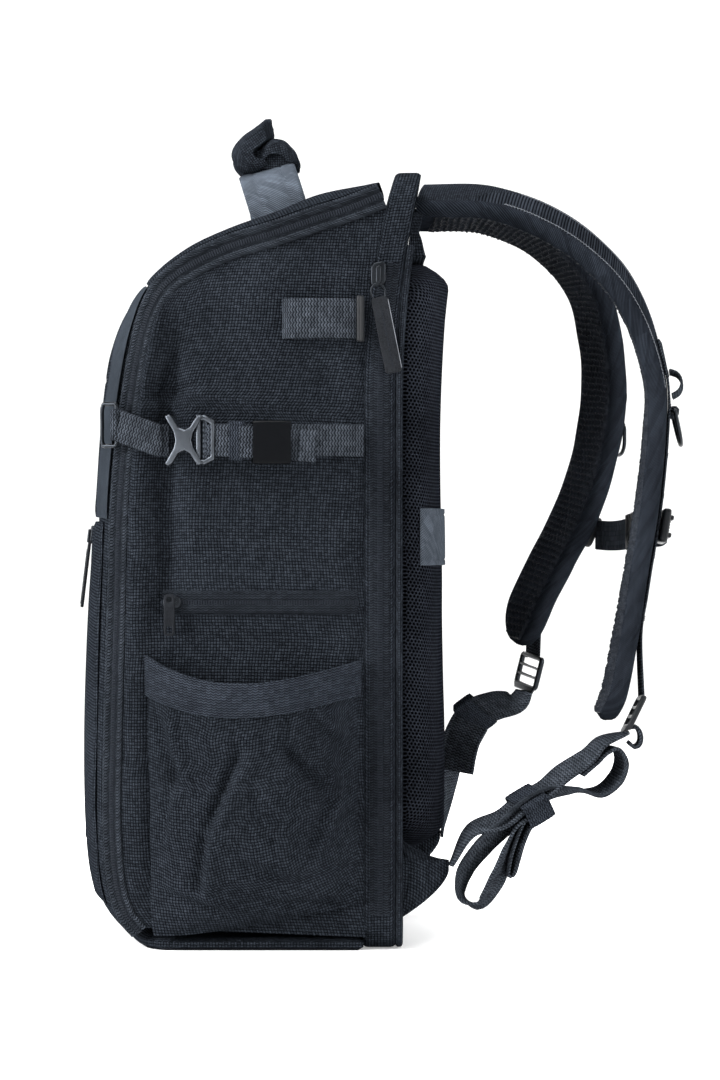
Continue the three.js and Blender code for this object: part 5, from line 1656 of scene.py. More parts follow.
def wire(points, facing, size, count, outline=WIRE_OUTLINE):
    """A closed ring of round wire through points."""
    sections = sweep(Line(points, closed=True), around(count), outline, facing, width=size, thick=size)
    return Piece().tube(sections, ring=True)


def front_line(side, rear):
    """The front webbing's middle, from the ring straight to the side and then along it."""
    ring = ring_middle(side)
    start = ring + vec(side * RING_WIRE / 2, RING_WIRE * 1.3, 0)
    meet = side_strap_at(side, -0.26 * PACK_DEPTH, 0.6)[0]
    points = [start + (meet - start) * share for share in (0, 0.25, 0.5, 0.75, 1)]
    points += [side_strap_at(side, y)[0] for y in np.linspace(-0.26 * PACK_DEPTH, rear, 6)[1:]]
    return Line(points)


def fold_round(side, ring):
    """A short turn of webbing round the ring's upright wire."""
    turn = np.radians(np.linspace(-150, 150, 11))
    radius = RING_WIRE / 2 + 1.3
    centre = ring + vec(side * 1.2, RING_WIRE * 1.3, 0)
    return [centre + vec(side * radius * math.sin(a), -radius * math.cos(a), 0) for a in turn]


def add_front_webbing(name, side, rear):
    """The side strap from the ring, with its doubled end beneath it."""
    line = front_line(side, rear)
    piece = Piece()
    webbing(piece, line, SIDE_WEBBING_WIDTH)
    inner = Line(line.points + np.array([side * 1.9, 0.3, 0]))
    webbing(piece, inner, SIDE_WEBBING_WIDTH - 0.4, start=0.03, stop=0.62 if side > 0 else 0.3)
    webbing(piece, Line(fold_round(side, ring_middle(side))), SIDE_WEBBING_WIDTH)
    piece.build(f"side_webbing_front_{name}", WEB,
                node="side_strap_front_right" if side > 0 else "side_strap_left")


def add_ring(name, side):
    middle = ring_middle(side)
    half = SIDE_WEBBING_WIDTH / 2 + RING_WIRE
    rows = [(-1, 0.8), (-0.8, 1), (0.8, 1), (1, 0.8), (1, -0.8), (0.8, -1), (-0.8, -1), (-1, -0.8)]
    path = [middle + vec(side * a * 2.5, a * RING_WIRE * 1.6, b * half) for a, b in rows]
    dense = []
    for point, after in zip(path, path[1:] + path[:1]):
        dense += [point, (point + after) / 2]
    ring = wire(dense, unit(vec(1, -0.6, 0)), 2.6, 64)
    ring.build(f"strap_ring_steel_{name}", STEEL, node=f"strap_ring_{name}", sharp=80)


def strap_axes(side, y):
    """A place on the side strap, and the directions along it, up and out."""
    at = side_strap_at(side, y)[0]
    along = unit(side_strap_at(side, y + 4)[0] - side_strap_at(side, y - 4)[0])
    up = vec(0, 0, 1)
    return at, (along, up, unit(np.cross(along, up)))


# The side buckle's outlines above its middle, as shares of half its size: along the strap, up
BUCKLE_CROSS = [
    (-0.58, 0.0), (-0.64, 0.3), (-0.82, 0.62), (-1.0, 0.92), (-0.86, 1.0), (-0.7, 0.9), (-0.46, 0.5),
    (-0.2, 0.4), (0.02, 0.52), (0.22, 0.84), (0.36, 0.98), (0.52, 0.93), (0.34, 0.6), (0.14, 0.3),
    (0.06, 0.0),
]
BUCKLE_FRAME = [(0.24, 0.0), (0.24, 0.96), (0.58, 0.96), (0.97, 0.76), (0.97, 0.0)]
BUCKLE_WINDOW = [(0.42, 0.0), (0.42, 0.76), (0.56, 0.76), (0.82, 0.62), (0.82, 0.0)]
BUCKLE_BAR = [(0.5, 0.0), (0.5, 0.74), (0.72, 0.74), (0.72, 0.0)]


def mirrored(half_outline, size):
    """A closed outline from its upper half, whose first and last places lie on the middle."""
    upper = [(x * size, y * size) for x, y in half_outline]
    lower = [(x, -y) for x, y in reversed(upper[1:-1])]
    return (upper + lower)[::-1]


def add_side_buckle():
    """A side-release buckle: a crossed body, and a frame with webbing round its ladder bar."""
    half = BUCKLE_SIZE / 2
    at, axes = strap_axes(1, BUCKLE_MIDDLE)
    out = axes[2]
    socket = Piece()
    slab(socket, mirrored(BUCKLE_CROSS, half), 5.4, axes, at + out * 1.4, bevel=1.0)
    socket.build("buckle_socket_metal", GUNMETAL, node="side_buckle_socket_right", sharp=50)
    plug = Piece()
    window = mirrored(BUCKLE_WINDOW, half)
    slab(plug, mirrored(BUCKLE_FRAME, half), 4.6, axes, at + out * 0.4, bevel=0.9, holes=[window])
    plug.build("buckle_plug_metal", GUNMETAL, node="side_buckle_plug_right", sharp=50)
    bar = Piece()
    slab(bar, mirrored(BUCKLE_BAR, half), 4.2, axes, at + out * 0.4, bevel=1.4)
    bar.build("buckle_bar_web", WEB)


def add_rear_webbing():
    """From the buckle to the rear seam, with its free end folded back on top of it."""
    rear = gusset_front(SIDE_STRAP_LEVEL) - 0.2
    front = BUCKLE_MIDDLE + BUCKLE_SIZE / 2 - 3
    line = Line([side_strap_at(1, y)[0] for y in np.linspace(front, rear, 9)])
    piece = Piece()
    webbing(piece, line, SIDE_WEBBING_WIDTH)
    steps = np.linspace(front + 1, 36, 6)
    points = np.array([side_strap_at(1, y, 2.6 + 1.2 * k)[0] for k, y in enumerate(steps)])
    points[:, 2] -= np.linspace(0, 4, len(points))
    points[:2, 0] -= (0.8, 0.3)
    tail = Line(points)
    webbing(piece, tail, SIDE_WEBBING_WIDTH)
    webbing(piece, tail, SIDE_WEBBING_WIDTH, off=-1.8, start=0.84, stop=0.995)
    turn = np.radians(np.linspace(-90, 90, 7))
    wrap = [
        side_strap_at(1, front, 1.2 + 1.9 * math.sin(a))[0] - vec(0, 2.4 * math.cos(a), 0)
        for a in turn
    ]
    webbing(piece, Line(wrap), SIDE_WEBBING_WIDTH - 0.5)
    piece.build("side_webbing_rear_right", WEB, node="side_strap_rear_right")


def sleeve(piece, at, axes, length, tall, deep, thick, ripple=0.0):
    """A band round a strap: a soft tube with rounded corners."""
    along, up, out = axes
    outer = np.array(rounded_box(tall + 2 * thick, deep + 2 * thick, thick + 0.8, 4))
    inner = np.array(rounded_box(tall, deep, 0.8, 4))
    sections = []
    stations = np.linspace(-0.5, 0.5, 15)
    for share in stations:
        squeeze = 1 + ripple * math.sin(share * 40) - 0.03 * (2 * share) ** 4
        middle = at + along * share * length
        sections.append([middle + up * a * squeeze + out * b * squeeze for a, b in outer])
    for share in stations[::-1]:
        sections.append([at + along * share * length + up * a + out * b for a, b in inner])
    piece.tube(np.array(sections), ring=True)


def add_strap_keeper():
    """A glossy sleeve that holds the strap's free end, and a thin elastic loop before it."""
    place = BUCKLE_MIDDLE + BUCKLE_SIZE * 1.55
    piece = Piece()
    at, axes = strap_axes(1, place)
    sleeve(piece, at + axes[2] * 3.6 - axes[1] * 1.6, axes, 23.5, 25, 10.4, 1.1, ripple=0.004)
    piece.build("strap_keeper_cloth", BLACK_GLOSS, node="strap_keeper_right")
    loop = Piece()
    at, axes = strap_axes(1, place - 21)
    sleeve(loop, at + axes[2] * 1.2 - axes[1] * 0.6, axes, 9.5, 22.5, 5.2, 0.9, ripple=0.006)
    loop.build("strap_loop_elastic", ELASTIC)


def add_left_buckle():
    """A slide buckle with two windows."""
    at, axes = strap_axes(-1, BUCKLE_MIDDLE)
    half = BUCKLE_SIZE * 0.4
    outline = rounded_box(2 * half, SIDE_WEBBING_WIDTH + 9, 3)
    window = rounded_box(2 * half * 0.3, SIDE_WEBBING_WIDTH + 1, 1)
    windows = [shifted(window, s * half * 0.42) for s in (-1, 1)]
    piece = Piece()
    slab(piece, outline, 3.2, axes, at + axes[2] * 0.6, bevel=0.9, holes=windows)
    piece.build("slide_buckle_metal", GUNMETAL, node="side_buckle_left", sharp=50)


def add_lash_loop(name, side):
    """A short loop of webbing at the gusset, with a plastic slide near its end."""
    rear = gusset_front(LASH_LEVEL) - 3
    points = []
    for share in (0, 0.08, 0.3, 0.5, 0.7, 0.92, 1):
        lift = LASH_BOW * max(math.sin(math.pi * share), 0) ** 0.6
        place = rear - LASH_LENGTH * (1 - share)
        points.append(on_side(side, place, LASH_LEVEL, WEBBING / 2 + GAP + lift))
    line = Line(points)
    piece = Piece()
    webbing(piece, line, LOWER_WEBBING_WIDTH)
    piece.build(f"lash_webbing_{name}", WEB, node=f"lash_loop_{name}")
    at = line.at([0.86])[0]
    along = line.tangent([0.86])[0]
    up = vec(0, 0, 1)
    out = towards(unit(np.cross(along, up)), vec(side, 0, 0))
    bar = Piece()
    outline = rounded_box(5.5, LOWER_WEBBING_WIDTH + 4, 1.2)
    slab(bar, outline, 2.6, (along, up, out), at + out * 1.9, bevel=0.8)
    bar.build(f"lash_slide_{name}", PLASTIC, sharp=50)


def add_side_zip():
    rear = GUSSET_FRONT - 2 * CLOTH

    def surface(u, v, off):
        y = rear - SIDE_ZIP_LENGTH * (1 - u)
        z = SIDE_ZIP_LEVEL + (v - 0.5) * 15
        relief = side_relief(y, z, 1) * 0.9
        return on_side(1, y, z, GAP + off + relief)

    def profile(v):
        flap = 1.0 - 1.0 * bump(v, 0.5, 0.12)
        seams = -0.4 * bump(v, 0.2, 0.03) - 0.4 * bump(v, 0.8, 0.03)
        return 0.9 + flap + seams - 1.6 * (1 - smoothstep(nearer(v), 0, 0.1))

    outer = grid(lambda u, v: surface(u, v, profile(v)), 90, 22)
    inner = grid(lambda u, v: surface(u, v, -0.8 + 0 * v), 90, 22)
    Piece().shell(outer, inner).build("side_zip_tape", ZIP_TAPE, node="side_zip_right")
    coil_on(np.swapaxes(outer, 0, 1), "side_zip_coil", width=2.6, height=0.7)
    add_side_pull(rear)


def add_side_pull(rear):
    """The moulded pull, with rows of dots and a slot, and the slider that it hangs on."""
    y = rear - SIDE_ZIP_LENGTH + SIDE_PULL_WIDTH * 0.7
    z = SIDE_ZIP_LEVEL - SIDE_PULL_LENGTH * 0.3
    at = on_side(1, y, z, ZIP_PROUD + 3 * GAP + 2.2) + vec(1.2, 0, 0)
    axes = vec(0, 1, 0), vec(0, 0, 1), vec(1, 0, 0)
    slot = shifted(rounded_box(3.6, 4.2, 0.7), 0, -9.3)
    eye = shifted(rounded_box(3.2, 3.2, 1.4), 0, 9.6)
    piece = Piece()
    body = rounded_box(SIDE_PULL_WIDTH, SIDE_PULL_LENGTH, 2)
    slab(piece, body, 2.6, axes, at, bevel=0.7, holes=[slot, eye])
    for row in range(5):
        for column in range(3):
            spot = at + vec(1.3, (column - 1) * 1.5, 4.6 - 2.1 * row)
            slab(piece, rounded_box(0.8, 0.9, 0.25, 2), 0.6, axes, spot, bevel=0.15)
    piece.build("side_zip_pull_rubber", RUBBER, node="side_zip_pull_right", sharp=50)
    slider = Piece()
    spot = on_side(1, y + 1.5, SIDE_ZIP_LEVEL, 3.0)
    slab(slider, rounded_box(11, 7.5, 2.5), 2.8, axes, spot, bevel=0.9)
    slab(slider, rounded_box(6, 2.6, 1.2), 2.4, axes, spot + vec(2.0, 0, 0), bevel=0.8)
    slider.build("side_zip_slider", STEEL, sharp=50)


def leather_strip(piece, at, axes, width, length, thickness):
    """A strip of leather with cut edges and a row of stitches down it."""
    _, up, out = axes
    slab(piece, rounded_box(width, length, 2.2), thickness, axes, at, bevel=0.5)
    stitch = rounded_box(0.7, 2.1, 0.3, 2)
    for k in range(1, int(length / 3.4)):
        spot = at + up * (length / 2 - 4.5 - k * 3.2) + out * (thickness / 2 + 0.1)
        if np.dot(spot - at, up) < -length / 2 + 3:
            break
        slab(piece, stitch, 0.6, axes, spot, bevel=0.2, slot=1)


def add_rear_pull():
    """The leather pull on the upright zip, with its wire loop and slider."""
    z = REAR_PULL_LEVEL
    at = vec(HALF_WIDTH + ZIP_PROUD + 2 * GAP + 1.9, gusset_front(z) + 0.62 * GUSSET_DEPTH, z)
    across, up, out = unit(vec(0, 1, 0.2)), unit(vec(0, -0.2, 1)), vec(1, 0, 0)
    axes = across, up, out
    piece = Piece()
    leather_strip(piece, at, axes, 10.5, 48, 2.6)
    edge = at + across * 4.9 + out * 0.3
    slab(piece, rounded_box(1.0, 44, 0.4), 1.8, axes, edge, bevel=0.3, slot=2)
    piece.build("rear_pull_leather", [LEATHER, THREAD, REFLECTIVE], node="rear_zip_pull_right", sharp=50)
    slider = Piece()
    spot = at + vec(-0.6, -5.2, 38)
    axes = across, vec(0, 0, 1), out
    slab(slider, rounded_box(9.5, 15, 3.4), 3.0, axes, spot, bevel=1.0)
    slab(slider, rounded_box(3.4, 11, 1.6), 3.2, axes, spot + vec(2.0, 0, -0.5), bevel=1.0)
    slider.build("rear_zip_slider", STEEL, sharp=50)
    centre = at + up * 27 + out * 0.8
    loop = [
        centre + across * 4.4 * math.cos(a) + (up * 5.6 + out * 0.9) * math.sin(a)
        for a in 2 * math.pi * around(40)
    ]
    wire(loop, out, 1.2, 60, round_outline(8)).build("rear_pull_wire", STEEL, sharp=80)


def add_front_pull():
    """Two thin leather strips on the front pocket's slider."""
    turn = 16
    top = front_at(POCKET_TOP - 0.012, turn, SEAM)
    tilt = math.radians(turn / 2)
    up = unit(vec(0, 0.12, 1))
    across = unit(np.cross(up, unit(vec(math.sin(tilt), -1, 0))))
    face = unit(np.cross(across, up))
    axes = across, up, face
    middle = top - up * 22.5 + face * 2.4
    piece = Piece()
    leather_strip(piece, middle - across * 2.9, axes, 4.6, 45, 2.0)
    leather_strip(piece, middle + across * 2.9 + face * 0.4 - up * 0.8, axes, 4.6, 43, 2.0)
    piece.build("front_pull_leather", [LEATHER, THREAD], node="front_pocket_pull", sharp=50)
    slider = Piece()
    slab(slider, rounded_box(8, 12, 3), 2.8, axes, top + up * 3 + face * 1.4, bevel=1.0)
    slab(slider, rounded_box(3, 9, 1.4), 2.6, axes, top + up * 2 + face * 3.2, bevel=0.9)
    slider.build("front_pocket_slider", STEEL, sharp=50)


add_handle()
for side_name, side_sign in SIDES:
    add_pocket(side_name, side_sign)
    add_ring(side_name, side_sign)
    add_lash_loop(side_name, side_sign)
add_front_webbing("right", 1, BUCKLE_MIDDLE - BUCKLE_SIZE / 2 + 2)
add_front_webbing("left", -1, gusset_front(SIDE_STRAP_LEVEL) - 0.2)
add_side_buckle()
add_rear_webbing()
add_strap_keeper()
add_left_buckle()
add_side_zip()
add_rear_pull()
add_front_pull()


# Shoulder straps

class Strap:
    """One shoulder strap's centre line with its width and roll along it."""

    def __init__(self, table, side):
        start = gusset_rear(STRAP_TOP) + STRAP_SEAT
        self.side = side
        self.line = Line([
            (side * row[2] * STRAP_SPREAD, start + row[0] * STRAP_REACH, STRAP_TOP - row[1] * STRAP_DROP)
            for row in table
        ])
        self.places = np.linspace(0, 1, len(table))
        self.widths = np.array([row[3] * STRAP_WIDTH for row in table])
        self.rolls = np.array([row[4] for row in table], float)

    def width(self, t):
        return np.interp(t, self.places, self.widths)

    def roll(self, t):
        return np.interp(t, self.places, self.rolls)

    def on(self, t, off=0.0, across=0.0):
        """Places on the outer face, off above it and across from its middle, with directions."""
        t = np.atleast_1d(np.asarray(t, float))
        point, tangent, side, face = frames(self.line, t, vec(1, 0, 0), self.roll(t))
        off = np.broadcast_to(np.asarray(off, float), (len(t),))
        across = np.broadcast_to(np.asarray(across, float), (len(t),))
        place = point + face * (STRAP_THICKNESS / 2 + off)[:, None] + side * across[:, None]
        return place, tangent, side, face

    def spot(self, t, off):
        """One place on the outer face, with its directions."""
        return (a[0] for a in self.on([t], off))

    def place_at(self, share):
        level = STRAP_TOP - share * STRAP_DROP
        t = np.arange(0.2, 1, 0.004)
        z = self.line.at(t)[:, 2]
        return t[np.argmax(z < level)]


NEAR = Strap(NEAR_STRAP, 1)
FAR = Strap(FAR_STRAP, -1)


def pad_outline(width, blunt):
    """A padded strap's cross-section in millimetres: face, binding, inner face, binding."""
    half = width / 2
    deep = STRAP_THICKNESS / 2 * blunt
    roll = min(4.6, half * 0.3) * blunt
    face = np.linspace(-1, 1, 21)
    reach = half - roll * 1.5
    crown = 0.8 * (1 - face**2)
    outer = np.stack([face * reach, deep - 0.9 + 1.9 * crown * blunt], -1)
    turn = np.linspace(0.62 * np.pi, -0.62 * np.pi, 12)
    edge = np.stack([half - roll + roll * np.cos(turn), deep * 0.86 * np.sin(turn)], -1)
    inner = np.stack([face[::-1] * reach, -deep + 0.9 - crown], -1)
    other = edge[::-1] * (-1, 1)
    return np.vstack([outer, edge, inner, other])


def pad_sections(strap, t, length):
    """Cross-sections of a pad; near its lower end they close to a rounded tip."""
    point, _, side, face = frames(strap.line, t, vec(1, 0, 0), strap.roll(t))
    sections = []
    for k, place in enumerate(t):
        width = strap.width(place)
        left = length[-1] - length[k]
        close = math.sqrt(max(1 - max(1 - left / (width * 0.42), 0) ** 2, 0.02))
        blunt = math.sqrt(max(1 - max(1 - left / 7, 0) ** 2, 0.05))
        outline = pad_outline(width * close, blunt)
        wave = 1 + 0.018 * math.sin(length[k] / 11.0) + 0.012 * math.sin(length[k] / 5.3 + 1)
        sections.append(point[k] + side[k] * outline[:, :1] * wave + face[k] * outline[:, 1:])
    return np.array(sections)


# The pad's plain start ends in a slanting seam, in millimetres along it
SEAM_MIDDLE = 46
SEAM_SLANT = 12
FACE_COLUMNS = 21


def add_pad(name, strap):
    t = strap.line.even(SECTION_STEP)
    length = run_lengths(strap.line.at(t))
    sections = pad_sections(strap, t, length)
    piece = Piece().tube(sections)
    column = np.arange(sections.shape[1])
    seam = SEAM_MIDDLE + strap.side * SEAM_SLANT * (1 - 2 * column / (FACE_COLUMNS - 1))
    start = np.where(length[:-1, None] < seam, 2, 0)
    kinds = np.where(column < FACE_COLUMNS, start, 1).ravel()
    piece.slots[:len(kinds)] = kinds.tolist()
    cloths = [CORDS, BINDING_SMOOTH, BALLISTIC_FINE]
    obj = piece.build(f"shoulder_pad_cloth_{name}", cloths, node=f"shoulder_pad_{name}", sharp=60)
    add_honeycomb(name, strap, length[-1])
    add_zigzag(name, strap)


def hexagons(u, v, pitch):
    """Distance to the middle of the nearest cell of a honeycomb, as a share of its pitch."""
    best = np.full(np.broadcast(u, v).shape, 9.0)
    for shift in (0.0, 0.5):
        x = (u / pitch + shift) % 1 - 0.5
        y = ((v / (pitch * math.sqrt(3)) + shift) % 1 - 0.5) * math.sqrt(3)
        best = np.minimum(best, np.hypot(x, y))
    return best


CELL_PITCH = 5.0
CELL_STEP = 0.95


def add_honeycomb(name, strap, total):
    """The open mesh that lines the strap, with its cells as shapes."""
    rows = int(total * 0.97 / CELL_STEP)
    t = np.linspace(0.02, 0.985, rows + 1)
    point, _, side, face = frames(strap.line, t, vec(1, 0, 0), strap.roll(t))
    length = run_lengths(point)
    left = length[-1] - length + 3
    width = strap.width(t)
    close = np.sqrt(np.clip(1 - np.clip(1 - left / (width * 0.42), 0, 1) ** 2, 0.03, 1))
    reach = (width / 2 - 7) * close
    share = np.linspace(-1, 1, 49)
    across = share[None] * reach[:, None]
    along = length[:, None] + 0 * across
    cell = hexagons(across + 0.6 * np.sin(along / 17), along + 0.8 * np.sin(across / 9), CELL_PITCH)
    wall = smoothstep(cell, 0.3, 0.52)
    spark = 0.5 * np.sin(across * 2.1 + 1.3 * np.sin(along)) * np.sin(along * 1.9)
    edge = smoothstep(1 - np.abs(share)[None], 0, 0.1) * smoothstep(left, 1, 6)[:, None]
    height = (0.5 + 1.9 * wall + 0.35 * spark * wall) * edge
    low = STRAP_THICKNESS / 2 - 1.2
    flat = point[:, None] + side[:, None] * across[..., None]
    inner = flat - face[:, None] * (low + height)[..., None]
    back = flat - face[:, None] * (low - 1.0 + 0 * across)[..., None]
    Piece().shell(inner, back).build(f"shoulder_lining_{name}", HONEYCOMB, sharp=80)


ZIGZAG_STEP = 1.25
ZIGZAG_SWING = 1.1


def add_zigzag(name, strap):
    """Light zigzag stitches along both edges of the strap's face."""
    piece = Piece()
    for edge in (-1, 1):
        t = strap.line.even(ZIGZAG_STEP, 0.12, 0.47)
        reach = strap.width(t) / 2 - 9.2
        swing = np.where(np.arange(len(t)) % 2 == 0, ZIGZAG_SWING, -ZIGZAG_SWING)
        place, _, _, face = strap.on(t, -0.62, edge * (reach + swing))
        for k in range(len(t) - 1):
            start, stop = place[k], place[k + 1]
            run = unit(stop - start)
            aside = np.cross(face[k], run)
            corners = []
            for end, grow in ((start, 0.5), ((start + stop) / 2, 1.0), (stop, 0.5)):
                for a, b in ((-1, -0.6), (1, -0.6), (0, 1)):
                    corners.append(end + aside * a * 0.36 * grow + face[k] * b * 0.42 * grow)
            faces = [(0, 2, 1), (6, 7, 8)]
            for j in (0, 3):
                for i in range(3):
                    m = (i + 1) % 3
                    faces.append((j + i, j + m, j + 3 + m, j + 3 + i))
            piece.loose(corners, faces)
    piece.build(f"zigzag_stitch_{name}", REFLECTIVE, sharp=80)


def rail_line(strap, leave, lock_top):
    """The rail's webbing down the pad's face, and from where it leaves the pad to the lock."""
    t = np.arange(0.4, leave, 0.045)
    place, _, _, _ = strap.on(t, RAIL_SEAT + WEBBING / 2)
    return Line(np.vstack([place, lock_top])), np.append(strap.roll(t), strap.roll(1.0))


def bartack(piece, at, axes, width):
    """A dense block of stitches over a strap."""
    for k in (-1, 0, 1):
        spot = at + axes[1] * k * 1.1
        slab(piece, rounded_box(width, 0.7, 0.3, 2), 0.55, axes, spot, bevel=0.2, slot=1)


def add_rail(name, strap, leave, lock):
    """The narrow webbing down the pad's face, tacked to it, and on to the lock."""
    line, rolls = rail_line(strap, leave, lock["top"] - lock["along"] * 5)
    piece = Piece()
    webbing(piece, line, RAIL_WIDTH, roll=rolls, across=(1, 0, 0))
    for drop in BARTACK_DROPS:
        t = strap.place_at(drop)
        place, tangent, side, face = strap.spot(t, RAIL_SEAT + WEBBING + 0.1)
        bartack(piece, place, (side, tangent, face), RAIL_WIDTH - 3)
    piece.build(f"strap_rail_webbing_{name}", [WEB, THREAD], sharp=60, node=f"strap_rail_{name}")


def add_web_loop(name, strap, drop, reach, rise):
    """A small loop of webbing sewn on the rail."""
    t = strap.place_at(drop)
    place, tangent, side, face = strap.spot(t, RAIL_SEAT + WEBBING)
    points = []
    for a in np.linspace(-1, 1, 9):
        lift = rise * (1 - a * a) ** 0.6
        points.append(place - tangent * a * reach + face * (lift + 0.9))
    piece = Piece()
    webbing(piece, Line(points), RAIL_WIDTH - 1, across=side)
    piece.build(f"rail_loop_{name}", WEB)


def rail_top():
    return RAIL_SEAT + WEBBING + 2 * GAP


# Half of a D-ring from the middle of its straight side, as shares of half its width
D_RING_HALF = [
    (0, 1), (0.5, 0.99), (1, 0.9), (0.98, 0.3), (0.86, -0.3), (0.6, -0.72), (0.3, -0.93), (0, -1),
]


def add_d_ring(name, strap):
    """A D-shaped ring that stands off the rail, in its own short loop of webbing."""
    t = strap.place_at(D_RING_DROP)
    point, tangent, side, face = strap.spot(t, rail_top() + RING_WIRE / 2)
    half = RAIL_WIDTH / 2 + RING_WIRE
    outline = [(-1, 0.9), (-0.5, 0.99)] + D_RING_HALF
    outline += [(-a, b) for a, b in reversed(D_RING_HALF[3:-1])]
    path = [point + side * a * half - tangent * b * half * 0.8 + face * (1 - b) * 3 for a, b in outline]
    wire(path, face, 2.7, 84).build(f"d_ring_steel_{name}", STEEL, node=f"d_ring_{name}", sharp=80)
    centre = point - tangent * 0.96 * half * 0.8
    turn = np.radians(np.linspace(-160, 160, 11))
    loop = [centre + tangent * 2.7 * math.sin(a) + face * 2.7 * math.cos(a) for a in turn]
    piece = Piece()
    webbing(piece, Line(loop), RAIL_WIDTH - 2, across=side)
    piece.build(f"d_ring_web_{name}", WEB)


def add_slider(name, strap):
    """The moulded slider on the rail that the sternum strap hooks into."""
    point, tangent, side, face = strap.spot(strap.place_at(STERNUM_DROP), rail_top() + 4.5)
    up = -tangent
    out = towards(np.cross(side, up), face)
    axes = side, up, out
    piece = Piece()
    slab(piece, rounded_box(RAIL_WIDTH + 8, 22, 4), 5.0, axes, point - out * 1.8, bevel=1.6)
    for row in (-1, 1):
        window = [(x, y + row * 5.6) for x, y in rounded_box(RAIL_WIDTH - 4, 3.2, 1)]
        slab(piece, window, 3.4, axes, point + out * 1.4, bevel=1.0)
    rib = rounded_box(RAIL_WIDTH - 8, 0.9, 0.4, 2)
    for row in range(4):
        slab(piece, rib, 1.2, axes, point + out * 1.0 + up * (row - 1.5) * 1.9, bevel=0.35)
    piece.build(f"sternum_slider_body_{name}", PLASTIC, node=f"sternum_slider_{name}", sharp=45)


def sternum_end(strap):
    t = strap.place_at(STERNUM_DROP)
    point, _, side, _ = strap.spot(t, rail_top() + 4.5)
    return point - side * strap.side * (RAIL_WIDTH / 2 + 4 + 7 * GAP)


def add_sternum_webbing(name, start, stop):
    sag = vec(0, 1.5, -1.2)
    start = start + (start - stop) * 0.06
    rows = [start, start * 0.66 + stop * 0.34 + sag, start * 0.33 + stop * 0.67 + sag, stop]
    piece = Piece()
    webbing(piece, Line(rows), STERNUM_WIDTH)
    webbing(piece, Line(rows), STERNUM_WIDTH, off=1.9, start=0.35)
    piece.build(f"sternum_webbing_cloth_{name}", WEB, node=f"sternum_webbing_{name}")


def add_sternum_buckle(middle, across):
    """A side-release buckle: a socket with two windows, and a plug with two arms."""
    up = unit(vec(0, 0, 1) - across * across[2])
    axes = across, up, towards(unit(np.cross(up, across)), vec(0, 1, 0))
    upper = [(24, 8), (22, 11), (14, 13.5), (-6, 13.5), (-8, 8)]
    body = [(x, -y) for x, y in upper[3::-1]] + upper + [(-8, -8)]
    windows = [shifted(rounded_box(4.0, 20.5, 1), 17.5), shifted(rounded_box(10, 7, 2), 3)]
    piece = Piece()
    slab(piece, body, 8.0, axes, middle, bevel=2.2, holes=windows)
    plug = [(-24, -12), (-14, -12.5), (-12, -9), (4, -5), (4, 5), (-12, 9), (-14, 12.5), (-24, 12)]
    slab(piece, plug, 5.4, axes, middle, bevel=1.6, holes=[shifted(rounded_box(4.0, 20, 1), -19)])
    for arm in (-1, 1):
        prong = [(-13, arm * 12.4), (-2, arm * 14), (5, arm * 12.5), (2, arm * 9.8), (-10, arm * 9.2)]
        slab(piece, prong, 5.0, axes, middle, bevel=1.2)
    piece.build("sternum_buckle_body", BLACK_GLOSS, node="sternum_buckle", sharp=45)


def add_sternum():
    right, left = sternum_end(NEAR), sternum_end(FAR)
    middle = (right + left) / 2 + vec(0, 5, 0)
    across = unit(right - left)
    add_sternum_webbing("right", right, middle + across * 21)
    add_sternum_webbing("left", left, middle - across * 21)
    add_sternum_buckle(middle, across)


# Routes of the lower webbing, as in the frame: out, up, side and roll
NEAR_ROUTE = [
    (0.0, 0.0, 1.27, 0), (0.055, 0.045, 1.25, 14), (0.134, 0.059, 1.23, 24), (0.19, 0.08, 1.2, 26),
    (0.249, 0.097, 1.16, 24), (0.294, 0.116, 1.13, 24), (0.361, 0.138, 1.09, 20),
    (0.401, 0.157, 1.06, 12), (0.462, 0.168, 1.03, 0),
]
FAR_ROUTE = [
    (0.0, 0.0, 1.27, 0), (0.02, 0.06, 1.24, 18), (0.035, 0.125, 1.18, 50), (0.087, 0.17, 1.1, 64),
    (0.15, 0.185, 1.02, 56), (0.214, 0.192, 0.97, 38), (0.233, 0.206, 0.955, 26),
]
NEAR_TAIL = [
    (0.33, 0.119, 1.1, 22), (0.372, 0.134, 1.07, 18), (0.412, 0.147, 1.05, 8), (0.438, 0.148, 1.04, -4),
    (0.453, 0.13, 1.04, -16), (0.436, 0.108, 1.05, -18), (0.392, 0.092, 1.08, -12),
    (0.33, 0.094, 1.11, 10), (0.255, 0.09, 1.15, 22), (0.195, 0.073, 1.2, 26), (0.14, 0.048, 1.23, 28),
    (0.085, 0.024, 1.25, 30), (0.035, -0.01, 1.26, 24), (0.03, -0.04, 1.26, 8),
    (0.072, -0.05, 1.25, -16), (0.12, -0.02, 1.23, -26), (0.151, 0.018, 1.21, -18),
    (0.172, 0.052, 1.2, 4), (0.198, 0.067, 1.19, 20), (0.224, 0.077, 1.19, 24),
]
FAR_TAIL = [
    (0.085, 0.16, 1.01, 62), (0.062, 0.138, 0.99, 60), (0.05, 0.116, 0.99, 60),
    (0.042, 0.092, 0.99, 60),
]
END_LOOP = [
    (0.222, 0.062, 1.165, -4), (0.19, 0.04, 1.16, -12), (0.168, 0.012, 1.155, -16),
    (0.158, -0.01, 1.15, -10), (0.15, -0.014, 1.15, 0), (0.15, 0.004, 1.16, 6), (0.166, 0.03, 1.165, 4),
    (0.192, 0.056, 1.17, 0), (0.218, 0.07, 1.17, 0),
]
LOCK_LOOP = [
    (0.474, 0.176, 1.03, 0), (0.492, 0.176, 1.03, 0), (0.503, 0.166, 1.03, 0), (0.5, 0.154, 1.03, 0),
    (0.486, 0.15, 1.03, 0), (0.472, 0.156, 1.03, 0),
]


